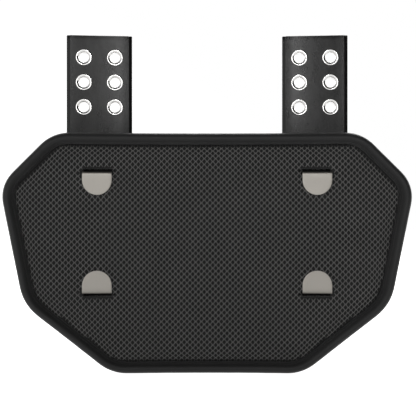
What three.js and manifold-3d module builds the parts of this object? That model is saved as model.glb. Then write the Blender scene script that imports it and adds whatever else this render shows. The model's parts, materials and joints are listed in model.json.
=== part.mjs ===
// Lower back plate for shoulder pads: a moulded shell that carries two bolt-on straps, and a removable
// mesh-faced pad that four sprung clips hold. Millimetres, +Z up, -Y is the body side, +Y the outside.
// The origin is the middle of the object's box.

import * as THREE from "three";
import { mergeVertices } from "three/addons/utils/BufferGeometryUtils.js";
import Module from "manifold-3d";

const wasm = await Module();
wasm.setup();

// Gap left between pieces that touch.
const fitGap = 0.3;

// Outline of the pad, as corners before rounding. Half widths are measured from the middle.
const padHeight = 185.4;
const topHalfWidth = 118.9;
const shoulderHalfWidth = 157.1;
const shoulderDrop = 40.1;
const hipHalfWidth = 139.6;
const hipDrop = 131.6;
const bottomHalfWidth = 73.6;
const topFillet = 29.5;
const shoulderFillet = 27.1;
const hipFillet = 38.1;
const bottomFillet = 33.7;

// The whole plate is bowed about an upright axis, with its side ends towards the body.
const bowRadius = 850;

// Layers of the pad and the shell, from the outside in.
const shellWall = 3;
const shellInset = 4;
const panelRise = 1.6;
const panelInset = 42;
const liningThickness = 0.8;
const foamThickness = 15.2;
const meshThickness = 0.9;

// Padded roll round the edge of the pad.
const rollWidth = 9.6;
const rollDepth = 20.2;
const rollRounding = 4.4;

// Straps.
const strapWidth = 50.8;
const strapThickness = 4;
const strapRise = 76.6;
const strapOffset = 84.1;
const strapLowerReach = 2;
const strapFlexHeight = 3;
const strapCorner = 0.8;

// Eyelets, in two columns and three rows on each strap.
const eyeletBore = 7.6;
const eyeletWall = 0.6;
const eyeletFlange = 12.8;
const eyeletFlangeRise = 1.1;
const eyeletWasherThickness = 0.8;
const eyeletColumnSpacing = 24.4;
const eyeletRowSpacing = 19.3;
const eyeletTopMargin = 17.3;
const eyeletRows = 3;
const eyeletColumns = 2;

// Sprung clips: a riveted base, a riser through the pad, and a D-shaped tongue on its face.
const clipThickness = 1.2;
const clipBaseLength = 14;
const clipShift = 1.8;
const tongueWidth = 22.8;
const tongueLength = 17.7;
const upperClipDrop = 30.2;
const lowerClipDrop = 123.4;
const slotClearance = 0.8;

// Rivets through the shell, strap and clip base, each with a washer.
const rivetShankRadius = 2.4;
const rivetHeadRadius = 5.5;
const rivetHeadRise = 1.8;
const rivetTailRadius = 4.2;
const rivetTailRise = 1.4;
const rivetWasherRadius = 5;
const rivetWasherThickness = 0.8;
const rivetInset = 7.5;

// Fineness of round and bowed surfaces.
const roundSteps = 14;
const filletSteps = 4;
const bowStep = 24;
const rollBevelSteps = 2;

// Room given to the tools that cut and trim, and the distance within which vertices are one.
const overreach = 20;
const mergeDistance = 1e-3;

// Heights and places that follow from the sizes above.
const padTop = padHeight / 2;
const padBottom = -padHeight / 2;
const strapTop = padTop + strapRise;
const flexHeight = padTop + strapFlexHeight;
const strapTurn = Math.asin(strapOffset / bowRadius);
const clipHeights = { upper: padTop - upperClipDrop, lower: padTop - lowerClipDrop };
const clipTurns = { upper: 0, lower: Math.PI };
const strapBottom = clipHeights.lower - clipBaseLength - strapLowerReach;
const sides = { left: -1, right: 1 };

/** How far the plate has come towards the body at x. */
function bow(x) {
  return bowRadius - Math.sqrt(bowRadius * bowRadius - x * x);
}

// Depths at the middle of the plate, with the shell's inner face at zero and the body side negative.
const liningBack = -fitGap;
const foamBack = liningBack - liningThickness - fitGap;
const foamFront = foamBack - foamThickness;
const meshBack = foamFront - fitGap;
const meshFront = meshBack - meshThickness;
const rollBack = -fitGap;
const rollFront = rollBack - rollDepth;

// Depths on a strap's own flat plane, which touches the bowed plate along the strap's middle.
const strapBack = -bow(strapWidth / 2) - fitGap;
const strapFront = strapBack - strapThickness;
const clipBaseBack = strapFront - fitGap;
const clipBaseFront = clipBaseBack - clipThickness;
const rivetWasherBack = clipBaseFront - fitGap;
const rivetWasherFront = rivetWasherBack - rivetWasherThickness;
const tongueBack = meshFront * Math.cos(strapTurn) - bow(tongueWidth / 2 + clipShift) - fitGap;
const tongueMiddle = tongueBack - clipThickness / 2;

/** Turns a closed three.js geometry into a solid that can be cut and joined. */
function toSolid(geometry) {
  const bare = geometry.index ? geometry.toNonIndexed() : geometry.clone();
  bare.deleteAttribute("normal");
  bare.deleteAttribute("uv");
  const merged = mergeVertices(bare, mergeDistance);
  const mesh = new wasm.Mesh({
    numProp: 3,
    vertProperties: merged.attributes.position.array,
    triVerts: new Uint32Array(merged.index.array),
  });
  return new wasm.Manifold(mesh);
}

/** Turns a solid back into a three.js geometry. */
function toGeometry(solid) {
  const mesh = solid.getMesh();
  const geometry = new THREE.BufferGeometry();
  geometry.setAttribute("position", new THREE.BufferAttribute(mesh.vertProperties, 3));
  geometry.setIndex(new THREE.BufferAttribute(mesh.triVerts, 1));
  geometry.computeVertexNormals();
  return geometry;
}

/** Cuts each of the tools out of the body. */
function cut(body, tools) {
  return tools.reduce((rest, tool) => rest.subtract(tool), body);
}

/** The pad's corners, clockwise from the top right, each with the radius that rounds it. */
function padCorners() {
  const right = [
    { at: new THREE.Vector2(topHalfWidth, padTop), radius: topFillet },
    { at: new THREE.Vector2(shoulderHalfWidth, padTop - shoulderDrop), radius: shoulderFillet },
    { at: new THREE.Vector2(hipHalfWidth, padTop - hipDrop), radius: hipFillet },
    { at: new THREE.Vector2(bottomHalfWidth, padBottom), radius: bottomFillet },
  ];
  const left = right.map(({ at, radius }) => ({ at: new THREE.Vector2(-at.x, at.y), radius }));
  return [...right, ...left.reverse()];
}

/** The edge from one corner to the next, moved inwards. */
function insetEdge(from, to, inset) {
  const along = to.at.clone().sub(from.at).normalize();
  const inward = new THREE.Vector2(along.y, -along.x);
  return { start: from.at.clone().addScaledVector(inward, inset), along, inward };
}

/** The point where two edges cross. */
function crossing(a, b) {
  const between = b.start.clone().sub(a.start);
  const reach = between.cross(b.along) / a.along.cross(b.along);
  return a.start.clone().addScaledVector(a.along, reach);
}

/** Points of the pad's outline moved inwards, with short steps on straights so that it can bow. */
function outlinePoints(inset) {
  const corners = padCorners();
  const count = corners.length;
  const edges = corners.map((corner, i) => insetEdge(corner, corners[(i + 1) % count], inset));
  const rounds = corners.map(({ radius }, i) => {
    const before = edges[(i + count - 1) % count];
    const after = edges[i];
    const turn = Math.acos(before.along.dot(after.along));
    const rounding = Math.max(radius - inset, fitGap);
    const corner = crossing(before, after);
    const start = corner.clone().addScaledVector(before.along, -rounding * Math.tan(turn / 2));
    const centre = start.clone().addScaledVector(before.inward, rounding);
    const from = Math.atan2(-before.inward.y, -before.inward.x);
    return new THREE.ArcCurve(centre.x, centre.y, rounding, from, from - turn, true);
  });
  const points = rounds.flatMap((round, i) => {
    const straight = new THREE.LineCurve(round.getPoint(1), rounds[(i + 1) % count].getPoint(0));
    const steps = Math.ceil(straight.getLength() / bowStep);
    return [...round.getPoints(filletSteps).slice(0, -1), ...straight.getPoints(steps).slice(0, -1)];
  });
  return points;
}

/** Extrudes an upright outline, drawn in X and Z, from one depth towards the body. */
function extrudeTowardsBody(shape, back, depth, options = {}) {
  const geometry = new THREE.ExtrudeGeometry(shape, { depth, bevelEnabled: false, ...options });
  geometry.rotateX(Math.PI / 2);
  geometry.translate(0, back, 0);
  return geometry;
}

/** Everything between two depths of the bowed plate. */
function bowedSlab(front, back) {
  const reach = shoulderHalfWidth + overreach;
  const steps = Math.ceil((2 * reach) / bowStep);
  const line = (depth) => {
    const xs = Array.from({ length: steps + 1 }, (_, i) => -reach + (2 * reach * i) / steps);
    return xs.map((x) => new THREE.Vector2(x, depth - bow(x)));
  };
  const shape = new THREE.Shape([...line(front), ...line(back).reverse()]);
  const height = padHeight + 2 * overreach;
  const geometry = new THREE.ExtrudeGeometry(shape, { depth: height, bevelEnabled: false });
  geometry.translate(0, 0, padBottom - overreach);
  return toSolid(geometry);
}

/** A layer of the plate: the outline moved inwards, between two depths. */
function plateLayer(inset, front, back) {
  const shape = new THREE.Shape(outlinePoints(inset));
  const reach = bow(shoulderHalfWidth + overreach) + rollDepth + overreach;
  return toSolid(extrudeTowardsBody(shape, reach, 2 * reach)).intersect(bowedSlab(front, back));
}

/** A box between two corners, as a solid in the frame of the given group. */
function boxIn(frame, low, high) {
  const geometry = new THREE.BoxGeometry(high.x - low.x, high.y - low.y, high.z - low.z);
  geometry.translate((low.x + high.x) / 2, (low.y + high.y) / 2, (low.z + high.z) / 2);
  geometry.applyMatrix4(frame.matrixWorld);
  return toSolid(geometry);
}

/** A round bar along the depth axis, as a solid in the frame of the given group. */
function pinIn(frame, x, z, radius, front, back) {
  const geometry = new THREE.CylinderGeometry(radius, radius, back - front, roundSteps);
  geometry.translate(x, (front + back) / 2, z);
  geometry.applyMatrix4(frame.matrixWorld);
  return toSolid(geometry);
}

/** A round bar across the width, centred on the given depth and height. */
function crossBar(length, radius, depth, height) {
  const geometry = new THREE.CylinderGeometry(radius, radius, length, roundSteps + 2);
  geometry.rotateZ(Math.PI / 2);
  geometry.translate(0, depth, height);
  return toSolid(geometry);
}

/** A ring turned about the depth axis from a closed section of radius and depth pairs. */
function turned(section) {
  const points = section.map(([radius, depth]) => new THREE.Vector2(radius, depth));
  return new THREE.LatheGeometry(points, roundSteps);
}

/** A named mesh of one piece. */
function piece(name, geometry, material) {
  const mesh = new THREE.Mesh(geometry, material);
  mesh.name = name;
  return mesh;
}

/** The flat frame of one strap: X across it, Y outwards, Z up. */
function strapFrame(side) {
  const frame = new THREE.Group();
  frame.position.set(side * strapOffset, -bow(strapOffset), 0);
  frame.rotation.z = -side * strapTurn;
  frame.updateMatrixWorld(true);
  return frame;
}

/** The frame of one clip on its strap, with the tongue pointing down from its folded edge. */
function clipFrame(strap, side, level) {
  const frame = new THREE.Group();
  frame.position.set(side * clipShift, 0, clipHeights[level]);
  frame.rotation.y = clipTurns[level];
  strap.add(frame);
  frame.updateMatrixWorld(true);
  return frame;
}

/** Each material is made fresh, so that every mesh has its own. */
const finishes = {
  shellPlastic: () => new THREE.MeshStandardMaterial({ color: 0x1b1b1c, roughness: 0.45, metalness: 0 }),
  foam: () => new THREE.MeshStandardMaterial({ color: 0x2a2a2b, roughness: 0.95, metalness: 0 }),
  mesh: () => new THREE.MeshStandardMaterial({ color: 0x343433, roughness: 0.85, metalness: 0 }),
  lining: () => new THREE.MeshStandardMaterial({ color: 0x1d1d1d, roughness: 0.9, metalness: 0 }),
  roll: () => new THREE.MeshStandardMaterial({ color: 0x232323, roughness: 0.8, metalness: 0 }),
  strap: () => new THREE.MeshStandardMaterial({ color: 0x3c3c39, roughness: 0.6, metalness: 0 }),
  nickel: () => new THREE.MeshStandardMaterial({ color: 0xd9d8d4, roughness: 0.15, metalness: 1 }),
  springSteel: () => new THREE.MeshStandardMaterial({ color: 0xa7a59d, roughness: 0.4, metalness: 1 }),
  steel: () => new THREE.MeshStandardMaterial({ color: 0xb8b7b2, roughness: 0.3, metalness: 1 }),
};

/** The room that a strap and its rivet heads need in the pad, down to the strap's lower end. */
function strapRoom(strap) {
  const half = strapWidth / 2 + fitGap;
  const low = new THREE.Vector3(-half, strapFront - fitGap, strapBottom - fitGap);
  const high = new THREE.Vector3(half, overreach, padTop + overreach);
  return boxIn(strap, low, high);
}

/** The pocket in the foam for a clip's base, its washer and the rivet's tail. */
function clipPocket(clip) {
  const half = tongueWidth / 2 + slotClearance;
  const depth = rivetWasherFront - rivetTailRise - 2 * fitGap;
  const low = new THREE.Vector3(-half, depth, -clipThickness - slotClearance);
  const high = new THREE.Vector3(half, 0, clipBaseLength + slotClearance);
  return boxIn(clip, low, high);
}

/** The slot in the pad that a clip's riser passes through. */
function clipSlot(clip) {
  const half = tongueWidth / 2 + slotClearance;
  const low = new THREE.Vector3(-half, rollFront - overreach, -clipThickness - slotClearance);
  const high = new THREE.Vector3(half, 0, slotClearance);
  return boxIn(clip, low, high);
}

/** The hole for a clip's rivet between two depths. */
function rivetHole(clip, front, back) {
  return pinIn(clip, 0, rivetInset, rivetShankRadius + fitGap, front, back);
}

/** The shell, with a raised panel that stays clear of the rivet heads. */
function makeShell(clips) {
  const wall = plateLayer(shellInset, 0, shellWall);
  const panel = plateLayer(panelInset, shellWall / 2, shellWall + panelRise);
  const seatRadius = rivetHeadRadius + slotClearance;
  const seats = clips.map((clip) => pinIn(clip, 0, rivetInset, seatRadius, -overreach, overreach));
  const holes = clips.map((clip) => rivetHole(clip, -overreach, overreach));
  const body = cut(wall.add(cut(panel, seats)), holes);
  return piece("shell", toGeometry(body), finishes.shellPlastic());
}

function makeLining(straps) {
  const sheet = plateLayer(rollWidth + fitGap, liningBack - liningThickness, liningBack);
  return piece("pad_lining", toGeometry(cut(sheet, straps.map(strapRoom))), finishes.lining());
}

function makeFoam(straps, clips) {
  const block = plateLayer(rollWidth + fitGap, foamFront, foamBack);
  const rooms = [...straps.map(strapRoom), ...clips.map(clipPocket), ...clips.map(clipSlot)];
  return piece("foam_core", toGeometry(cut(block, rooms)), finishes.foam());
}

function makeMeshFace(clips) {
  const sheet = plateLayer(rollWidth + fitGap, meshFront, meshBack);
  return piece("mesh_face", toGeometry(cut(sheet, clips.map(clipSlot))), finishes.mesh());
}

function makeRoll(straps) {
  const shape = new THREE.Shape(outlinePoints(0));
  shape.holes.push(new THREE.Path(outlinePoints(rollWidth).reverse()));
  const bevel = {
    bevelEnabled: true,
    bevelThickness: rollRounding,
    bevelSize: rollRounding,
    bevelOffset: -rollRounding,
    bevelSegments: rollBevelSteps,
  };
  const depth = rollDepth - 2 * rollRounding;
  const geometry = extrudeTowardsBody(shape, rollBack - rollRounding, depth, bevel);
  const points = geometry.attributes.position;
  for (let i = 0; i < points.count; i += 1) {
    points.setY(i, points.getY(i) - bow(points.getX(i)));
  }
  return piece("edge_roll", toGeometry(cut(toSolid(geometry), straps.map(strapRoom))), finishes.roll());
}

/** A strap's flat outline between two heights. */
function strapShape(bottom, top, corner) {
  const half = strapWidth / 2;
  const shape = new THREE.Shape();
  shape.moveTo(-half, bottom);
  shape.lineTo(half, bottom);
  shape.lineTo(half, top - corner);
  shape.absarc(half - corner, top - corner, corner, 0, Math.PI / 2, false);
  shape.lineTo(-half + corner, top);
  shape.absarc(-half + corner, top - corner, corner, Math.PI / 2, Math.PI, false);
  return shape;
}

/** Centres of a strap's eyelets, row by row from the top. */
function eyeletCentres() {
  const rows = Array.from({ length: eyeletRows }, (_, i) => strapTop - eyeletTopMargin - i * eyeletRowSpacing);
  const columns = Array.from({ length: eyeletColumns }, (_, i) => (i - 0.5) * eyeletColumnSpacing);
  return rows.flatMap((z) => columns.map((x) => ({ x, z })));
}

/** The stretch of strap inside the plate, which the rivets hold. */
function makeStrapAnchor(name, side) {
  const half = strapWidth / 2;
  const top = flexHeight - strapThickness / 2 - fitGap;
  const shape = new THREE.Shape();
  shape.moveTo(-half, strapBottom);
  shape.lineTo(half, strapBottom);
  shape.lineTo(half, top);
  shape.lineTo(-half, top);
  const body = toSolid(extrudeTowardsBody(shape, strapBack, strapThickness));
  const clips = Object.keys(clipHeights).map((level) => clipFrame(new THREE.Group(), side, level));
  const holes = clips.map((clip) => rivetHole(clip, -overreach, overreach));
  return piece(name, toGeometry(cut(body, holes)), finishes.strap());
}

/** The free stretch of strap, with a round lower end that turns on the flex line. */
function makeStrap(name) {
  const shape = strapShape(flexHeight, strapTop, strapCorner);
  const flat = toSolid(extrudeTowardsBody(shape, strapBack, strapThickness, { curveSegments: 3 }));
  const middle = strapBack - strapThickness / 2;
  const round = crossBar(strapWidth, strapThickness / 2, middle, flexHeight);
  const frame = new THREE.Group();
  const radius = eyeletBore / 2 + eyeletWall + fitGap;
  const holes = eyeletCentres().map(({ x, z }) => pinIn(frame, x, z, radius, -overreach, overreach));
  return piece(name, toGeometry(cut(flat.add(round), holes)), finishes.strap());
}

function makeEyelet(name) {
  const bore = eyeletBore / 2;
  const barrel = bore + eyeletWall;
  const rim = eyeletFlange / 2;
  const seat = strapFront - fitGap;
  const end = strapBack + fitGap + eyeletWasherThickness;
  const crown = seat - eyeletFlangeRise;
  const section = [
    [bore, end],
    [bore, seat - eyeletFlangeRise / 4],
    [bore + eyeletWall / 2, crown + eyeletFlangeRise / 4],
    [(bore + rim) / 2, crown],
    [rim - eyeletWall / 3, seat - eyeletFlangeRise / 2],
    [rim, seat],
    [barrel, seat],
    [barrel, end],
    [bore, end],
  ];
  return piece(name, turned(section), finishes.nickel());
}

function makeEyeletWasher(name) {
  const inner = eyeletBore / 2 + eyeletWall + fitGap;
  const outer = eyeletFlange / 2;
  const front = strapBack + fitGap;
  const back = front + eyeletWasherThickness;
  const section = [[inner, front], [outer, front], [outer, back], [inner, back], [inner, front]];
  return piece(name, turned(section), finishes.nickel());
}

/** A clip's base and riser, with the rivet hole. */
function makeClip(name) {
  const riserEnd = tongueMiddle + clipThickness / 2 + fitGap;
  const shape = new THREE.Shape();
  shape.moveTo(clipBaseBack, -clipThickness);
  shape.lineTo(clipBaseBack, clipBaseLength);
  shape.lineTo(clipBaseFront, clipBaseLength);
  shape.lineTo(clipBaseFront, 0);
  shape.lineTo(riserEnd, 0);
  shape.lineTo(riserEnd, -clipThickness);
  const geometry = new THREE.ExtrudeGeometry(shape, { depth: tongueWidth, bevelEnabled: false });
  geometry.rotateX(Math.PI / 2);
  geometry.rotateZ(Math.PI / 2);
  geometry.translate(-tongueWidth / 2, 0, 0);
  const hole = rivetHole(new THREE.Group(), clipBaseFront - overreach, overreach);
  return piece(name, toGeometry(cut(toSolid(geometry), [hole])), finishes.springSteel());
}

/** A clip's tongue: D-shaped, with a round inner edge that turns on the fold. */
function makeTongue(name) {
  const radius = tongueWidth / 2;
  const fold = -clipThickness / 2;
  const shape = new THREE.Shape();
  shape.moveTo(radius, fold);
  shape.lineTo(-radius, fold);
  shape.lineTo(-radius, radius - tongueLength);
  shape.absarc(0, radius - tongueLength, radius, Math.PI, 2 * Math.PI, false);
  const flat = toSolid(extrudeTowardsBody(shape, tongueBack, clipThickness));
  const round = crossBar(tongueWidth, clipThickness / 2, tongueMiddle, fold);
  return piece(name, toGeometry(flat.add(round)), finishes.springSteel());
}

/** A rivet through the shell, strap, clip base and washer, with a domed head outside. */
function makeRivet(name) {
  const tail = rivetWasherFront - fitGap;
  const tailEnd = tail - rivetTailRise;
  const head = shellWall + fitGap;
  const headEnd = head + rivetHeadRise;
  const section = [
    [0, tailEnd],
    [rivetTailRadius * 0.7, tailEnd + rivetTailRise * 0.2],
    [rivetTailRadius, tail - rivetTailRise * 0.3],
    [rivetTailRadius, tail],
    [rivetShankRadius, tail],
    [rivetShankRadius, head],
    [rivetHeadRadius, head],
    [rivetHeadRadius, head + rivetHeadRise * 0.25],
    [rivetHeadRadius * 0.7, headEnd - rivetHeadRise * 0.2],
    [0, headEnd],
  ];
  const geometry = turned(section);
  geometry.translate(0, 0, rivetInset);
  return piece(name, geometry, finishes.steel());
}

function makeRivetWasher(name) {
  const inner = rivetShankRadius + fitGap;
  const front = rivetWasherFront;
  const back = rivetWasherBack;
  const outer = rivetWasherRadius;
  const section = [[inner, front], [outer, front], [outer, back], [inner, back], [inner, front]];
  const geometry = turned(section);
  geometry.translate(0, 0, rivetInset);
  return piece(name, geometry, finishes.steel());
}

/** Adds a clip, its tongue, its rivet and the washer to the clip's frame. */
function dressClip(frame, name) {
  frame.add(makeClip(`${name}_clip`));
  frame.add(makeTongue(`${name}_tongue`));
  frame.add(makeRivet(`${name}_rivet`));
  frame.add(makeRivetWasher(`${name}_rivet_washer`));
}

/** Adds a strap's two stretches and its eyelets to the strap's frame. */
function dressStrap(frame, name, side) {
  frame.add(makeStrapAnchor(`${name}_strap_anchor`, side));
  frame.add(makeStrap(`${name}_strap`));
  eyeletCentres().forEach(({ x, z }, i) => {
    const eyelet = makeEyelet(`${name}_eyelet_${i + 1}`);
    const washer = makeEyeletWasher(`${name}_eyelet_washer_${i + 1}`);
    eyelet.position.set(x, 0, z);
    washer.position.set(x, 0, z);
    frame.add(eyelet, washer);
  });
}

/** The whole plate, with the middle of its box at the origin. */
function makePlate() {
  const assembly = new THREE.Group();
  const straps = [];
  const clips = [];
  for (const [sideName, side] of Object.entries(sides)) {
    const strap = strapFrame(side);
    for (const level of Object.keys(clipHeights)) {
      const clip = clipFrame(strap, side, level);
      dressClip(clip, `${level}_${sideName}`);
      clips.push(clip);
    }
    dressStrap(strap, sideName, side);
    straps.push(strap);
    assembly.add(strap);
  }
  assembly.add(makeShell(clips), makeLining(straps), makeFoam(straps, clips));
  assembly.add(makeMeshFace(clips), makeRoll(straps));
  const middle = new THREE.Box3().setFromObject(assembly, true).getCenter(new THREE.Vector3());
  assembly.position.copy(middle).negate();
  const plate = new THREE.Group();
  plate.add(assembly);
  return plate;
}

const part = makePlate();
export default part;
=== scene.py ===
"""Back plate for shoulder pads: a bowed shell with a padded, mesh-covered inner face, a rolled
fabric edge, two punched straps with eyelets, and four sprung metal tabs.

Everything is in metres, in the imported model's frame: +X across, +Y away from the body, +Z up.
"""

import json
import logging
import math
from dataclasses import dataclass
from enum import Enum
from typing import Callable, Optional, Sequence

import bpy
import numpy as np
from mathutils import Matrix, Vector
from mathutils.bvhtree import BVHTree


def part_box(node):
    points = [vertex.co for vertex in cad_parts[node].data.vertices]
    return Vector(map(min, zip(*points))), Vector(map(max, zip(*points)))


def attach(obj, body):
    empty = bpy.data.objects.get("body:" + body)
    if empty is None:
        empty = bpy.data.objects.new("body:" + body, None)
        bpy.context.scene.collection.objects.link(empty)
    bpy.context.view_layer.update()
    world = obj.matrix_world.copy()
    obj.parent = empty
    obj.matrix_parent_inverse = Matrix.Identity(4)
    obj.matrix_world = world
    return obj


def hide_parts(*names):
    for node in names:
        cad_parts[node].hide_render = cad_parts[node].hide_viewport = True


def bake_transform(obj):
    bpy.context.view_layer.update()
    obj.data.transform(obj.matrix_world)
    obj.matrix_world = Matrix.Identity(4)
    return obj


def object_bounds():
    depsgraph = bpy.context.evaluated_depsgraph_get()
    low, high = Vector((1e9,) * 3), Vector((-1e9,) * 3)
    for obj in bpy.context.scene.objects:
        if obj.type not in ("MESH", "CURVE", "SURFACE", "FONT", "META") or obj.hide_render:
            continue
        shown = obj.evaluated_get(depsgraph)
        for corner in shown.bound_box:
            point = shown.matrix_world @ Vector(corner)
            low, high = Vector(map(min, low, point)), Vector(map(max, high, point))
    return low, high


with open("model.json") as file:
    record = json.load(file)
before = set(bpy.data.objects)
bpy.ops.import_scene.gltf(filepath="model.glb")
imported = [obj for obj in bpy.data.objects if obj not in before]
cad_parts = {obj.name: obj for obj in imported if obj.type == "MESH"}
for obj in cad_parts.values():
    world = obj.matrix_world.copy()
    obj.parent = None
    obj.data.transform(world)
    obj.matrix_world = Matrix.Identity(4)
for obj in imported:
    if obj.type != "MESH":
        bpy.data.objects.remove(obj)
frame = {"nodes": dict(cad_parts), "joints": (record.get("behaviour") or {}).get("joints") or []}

LOG = logging.getLogger("back_plate")
MM = 0.001
CAD_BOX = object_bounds()
BOW_RADIUS = 850 * MM
STRAP_OFFSET = 84.1 * MM
FIT_GAP = 0.3 * MM
DEPTH_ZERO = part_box("pad_lining")[1].y + FIT_GAP  # the shell's inner face at the middle
PROBE_START = -50 * MM  # well in front of every face, for a ray that measures its depth
BATCH = 4000  # how many points are measured at a time, to spare memory


class Side(Enum):
    """The two sides, as seen from the body side of the plate."""

    LEFT = -1
    RIGHT = 1

    @property
    def label(self) -> str:
        """The side's word in piece and body names."""
        return self.name.lower()


class Level(Enum):
    """The two rows of tabs. The value is the way from a tab's tip to its bend."""

    UPPER = 1
    LOWER = -1

    @property
    def label(self) -> str:
        """The level's word in piece and body names."""
        return self.name.lower()


# ---------------------------------------------------------------- modelling helpers


def clear_selection() -> None:
    """Leaves edit mode and deselects everything."""
    if bpy.context.object and bpy.context.object.mode != "OBJECT":
        bpy.ops.object.mode_set(mode="OBJECT")
    bpy.ops.object.select_all(action="DESELECT")


def pick(piece: bpy.types.Object) -> bpy.types.Object:
    """Makes one piece the only selected and active one.

    Args:
        piece: the object.

    Returns:
        The same object.
    """
    clear_selection()
    piece.select_set(True)
    bpy.context.view_layer.objects.active = piece
    return piece


def points_of(piece: bpy.types.Object) -> np.ndarray:
    """Reads the piece's vertices.

    Args:
        piece: the mesh object.

    Returns:
        Rows of x, y, z.
    """
    flat = np.zeros(len(piece.data.vertices) * 3)
    piece.data.vertices.foreach_get("co", flat)
    return flat.reshape(-1, 3)


def set_points(piece: bpy.types.Object, points: np.ndarray) -> None:
    """Moves the piece's vertices to the rows of points."""
    piece.data.vertices.foreach_set("co", np.ascontiguousarray(points, float).ravel())
    piece.data.update()


def weld(piece: bpy.types.Object, distance: float = 0.01 * MM, outward: bool = True) -> None:
    """Merges vertices that lie together, and turns the faces outwards.

    Args:
        piece: the mesh object.
        distance: how near two vertices are to be one.
        outward: whether the normals are recalculated as well.
    """
    pick(piece)
    bpy.ops.object.mode_set(mode="EDIT")
    bpy.ops.mesh.select_all(action="SELECT")
    bpy.ops.mesh.remove_doubles(threshold=distance)
    if outward:
        bpy.ops.mesh.normals_make_consistent(inside=False)
    bpy.ops.object.mode_set(mode="OBJECT")


def close_ends(piece: bpy.types.Object) -> None:
    """Fills every open loop of the piece with one face, and turns the faces outwards.

    Args:
        piece: the mesh object.
    """
    pick(piece)
    bpy.ops.object.mode_set(mode="EDIT")
    bpy.ops.mesh.select_all(action="SELECT")
    bpy.ops.mesh.fill_holes(sides=0)
    bpy.ops.mesh.normals_make_consistent(inside=False)
    bpy.ops.object.mode_set(mode="OBJECT")


def with_modifier(piece: bpy.types.Object, kind: str, **settings: object) -> None:
    """Adds a modifier, sets it up and applies it.

    Args:
        piece: the mesh object.
        kind: the modifier's type.
        settings: its properties by name.
    """
    pick(piece)
    modifier = piece.modifiers.new(kind.title(), kind)
    for name, value in settings.items():
        setattr(modifier, name, value)
    bpy.ops.object.modifier_apply(modifier=modifier.name)


def smooth(piece: bpy.types.Object, angle: float = 180.0) -> None:
    """Shades the piece smooth.

    Args:
        piece: the mesh object.
        angle: faces that meet at more degrees than this keep a crease.
    """
    pick(piece)
    if angle >= 180:
        bpy.ops.object.shade_smooth()
    else:
        bpy.ops.object.shade_smooth_by_angle(angle=math.radians(angle))


def wrapped_grid(
    name: str, columns: int, rows: int, place: Callable[[np.ndarray, np.ndarray], np.ndarray]
) -> bpy.types.Object:
    """A grid of faces laid over a shape.

    Args:
        name: the piece's name.
        columns: how many faces it has one way.
        rows: how many faces it has the other way.
        place: gives each vertex's point from its column and row numbers.

    Returns:
        The new object, with a UV map that runs from 0 to 1 both ways.
    """
    clear_selection()
    bpy.ops.mesh.primitive_grid_add(x_subdivisions=columns, y_subdivisions=rows, size=1.0)
    piece = bpy.context.object
    piece.name = piece.data.name = name
    flat = points_of(piece)
    column = np.rint((flat[:, 0] + 0.5) * columns).astype(int)
    row = np.rint((flat[:, 1] + 0.5) * rows).astype(int)
    set_points(piece, place(column, row))
    return piece


def scale_uv(piece: bpy.types.Object, across: float, along: float) -> None:
    """Gives the piece's UV map real lengths.

    Args:
        piece: the mesh object, with a map that runs from 0 to 1 both ways.
        across: the first way's full length, in metres.
        along: the second way's full length, in metres.
    """
    layer = piece.data.uv_layers[0].data
    flat = np.zeros(len(layer) * 2)
    layer.foreach_get("uv", flat)
    layer.foreach_set("uv", (flat.reshape(-1, 2) * (across, along)).ravel())


def turned(
    name: str, profile: Sequence[tuple[float, float]], steps: int, crease: float = 50.0
) -> bpy.types.Object:
    """A solid turned about the Y axis, as on a lathe.

    Args:
        name: the piece's name.
        profile: closed outline of (radius, place along Y) pairs, in millimetres.
        steps: how many steps the full turn has.
        crease: faces that meet at more degrees than this keep a crease.

    Returns:
        The new object, centred on the Y axis.
    """
    clear_selection()
    bpy.ops.mesh.primitive_circle_add(vertices=len(profile), radius=1.0)
    piece = bpy.context.object
    piece.name = piece.data.name = name
    set_points(piece, np.array([(r * MM, y * MM, 0.0) for r, y in profile]))
    bpy.ops.object.mode_set(mode="EDIT")
    bpy.ops.mesh.select_all(action="SELECT")
    bpy.ops.mesh.spin(steps=steps, angle=2 * math.pi, center=(0, 0, 0), axis=(0, 1, 0))
    bpy.ops.object.mode_set(mode="OBJECT")
    weld(piece)
    smooth(piece, crease)
    return piece


def copy_of(piece: bpy.types.Object, name: str) -> bpy.types.Object:
    """Copies a piece.

    Args:
        piece: the object to copy.
        name: the copy's name.

    Returns:
        The copy, with its own mesh.
    """
    twin = piece.copy()
    twin.data = piece.data.copy()
    twin.name = twin.data.name = name
    bpy.context.scene.collection.objects.link(twin)
    return twin


def discard(piece: bpy.types.Object) -> None:
    """Takes a pattern piece out of the scene."""
    bpy.data.objects.remove(piece, do_unlink=True)


def store(piece: bpy.types.Object, name: str, values: np.ndarray) -> None:
    """Keeps one number per vertex on the piece, for its material to read."""
    attribute = piece.data.attributes.new(name, "FLOAT", "POINT")
    attribute.data.foreach_set("value", values.astype(np.float32))


def ease(values: np.ndarray | float, start: float, end: float) -> np.ndarray:
    """Smooth steps from 0 at start to 1 at end."""
    share = np.clip((np.asarray(values, float) - start) / (end - start), 0, 1)
    return share * share * (3 - 2 * share)


def ripple(stations: np.ndarray, count: int, seed: int, waves: Sequence[int]) -> np.ndarray:
    """A soft unevenness that closes on itself after count stations.

    Args:
        stations: the station of each value.
        count: how many stations go round.
        seed: picks the waves' starts and heights.
        waves: how many times each wave rises on the way round.

    Returns:
        One value for each station, mostly from -1 to 1.
    """
    draw = np.random.RandomState(seed)
    turn = 2 * math.pi * stations / count
    total = np.zeros(len(turn))
    for wave in waves:
        height, start = draw.uniform(0.4, 1.0), draw.uniform(0, 6.28)
        total += height * np.sin(wave * turn + start)
    return total / math.sqrt(len(waves))


# ---------------------------------------------------------------- the plate's own places


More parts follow.
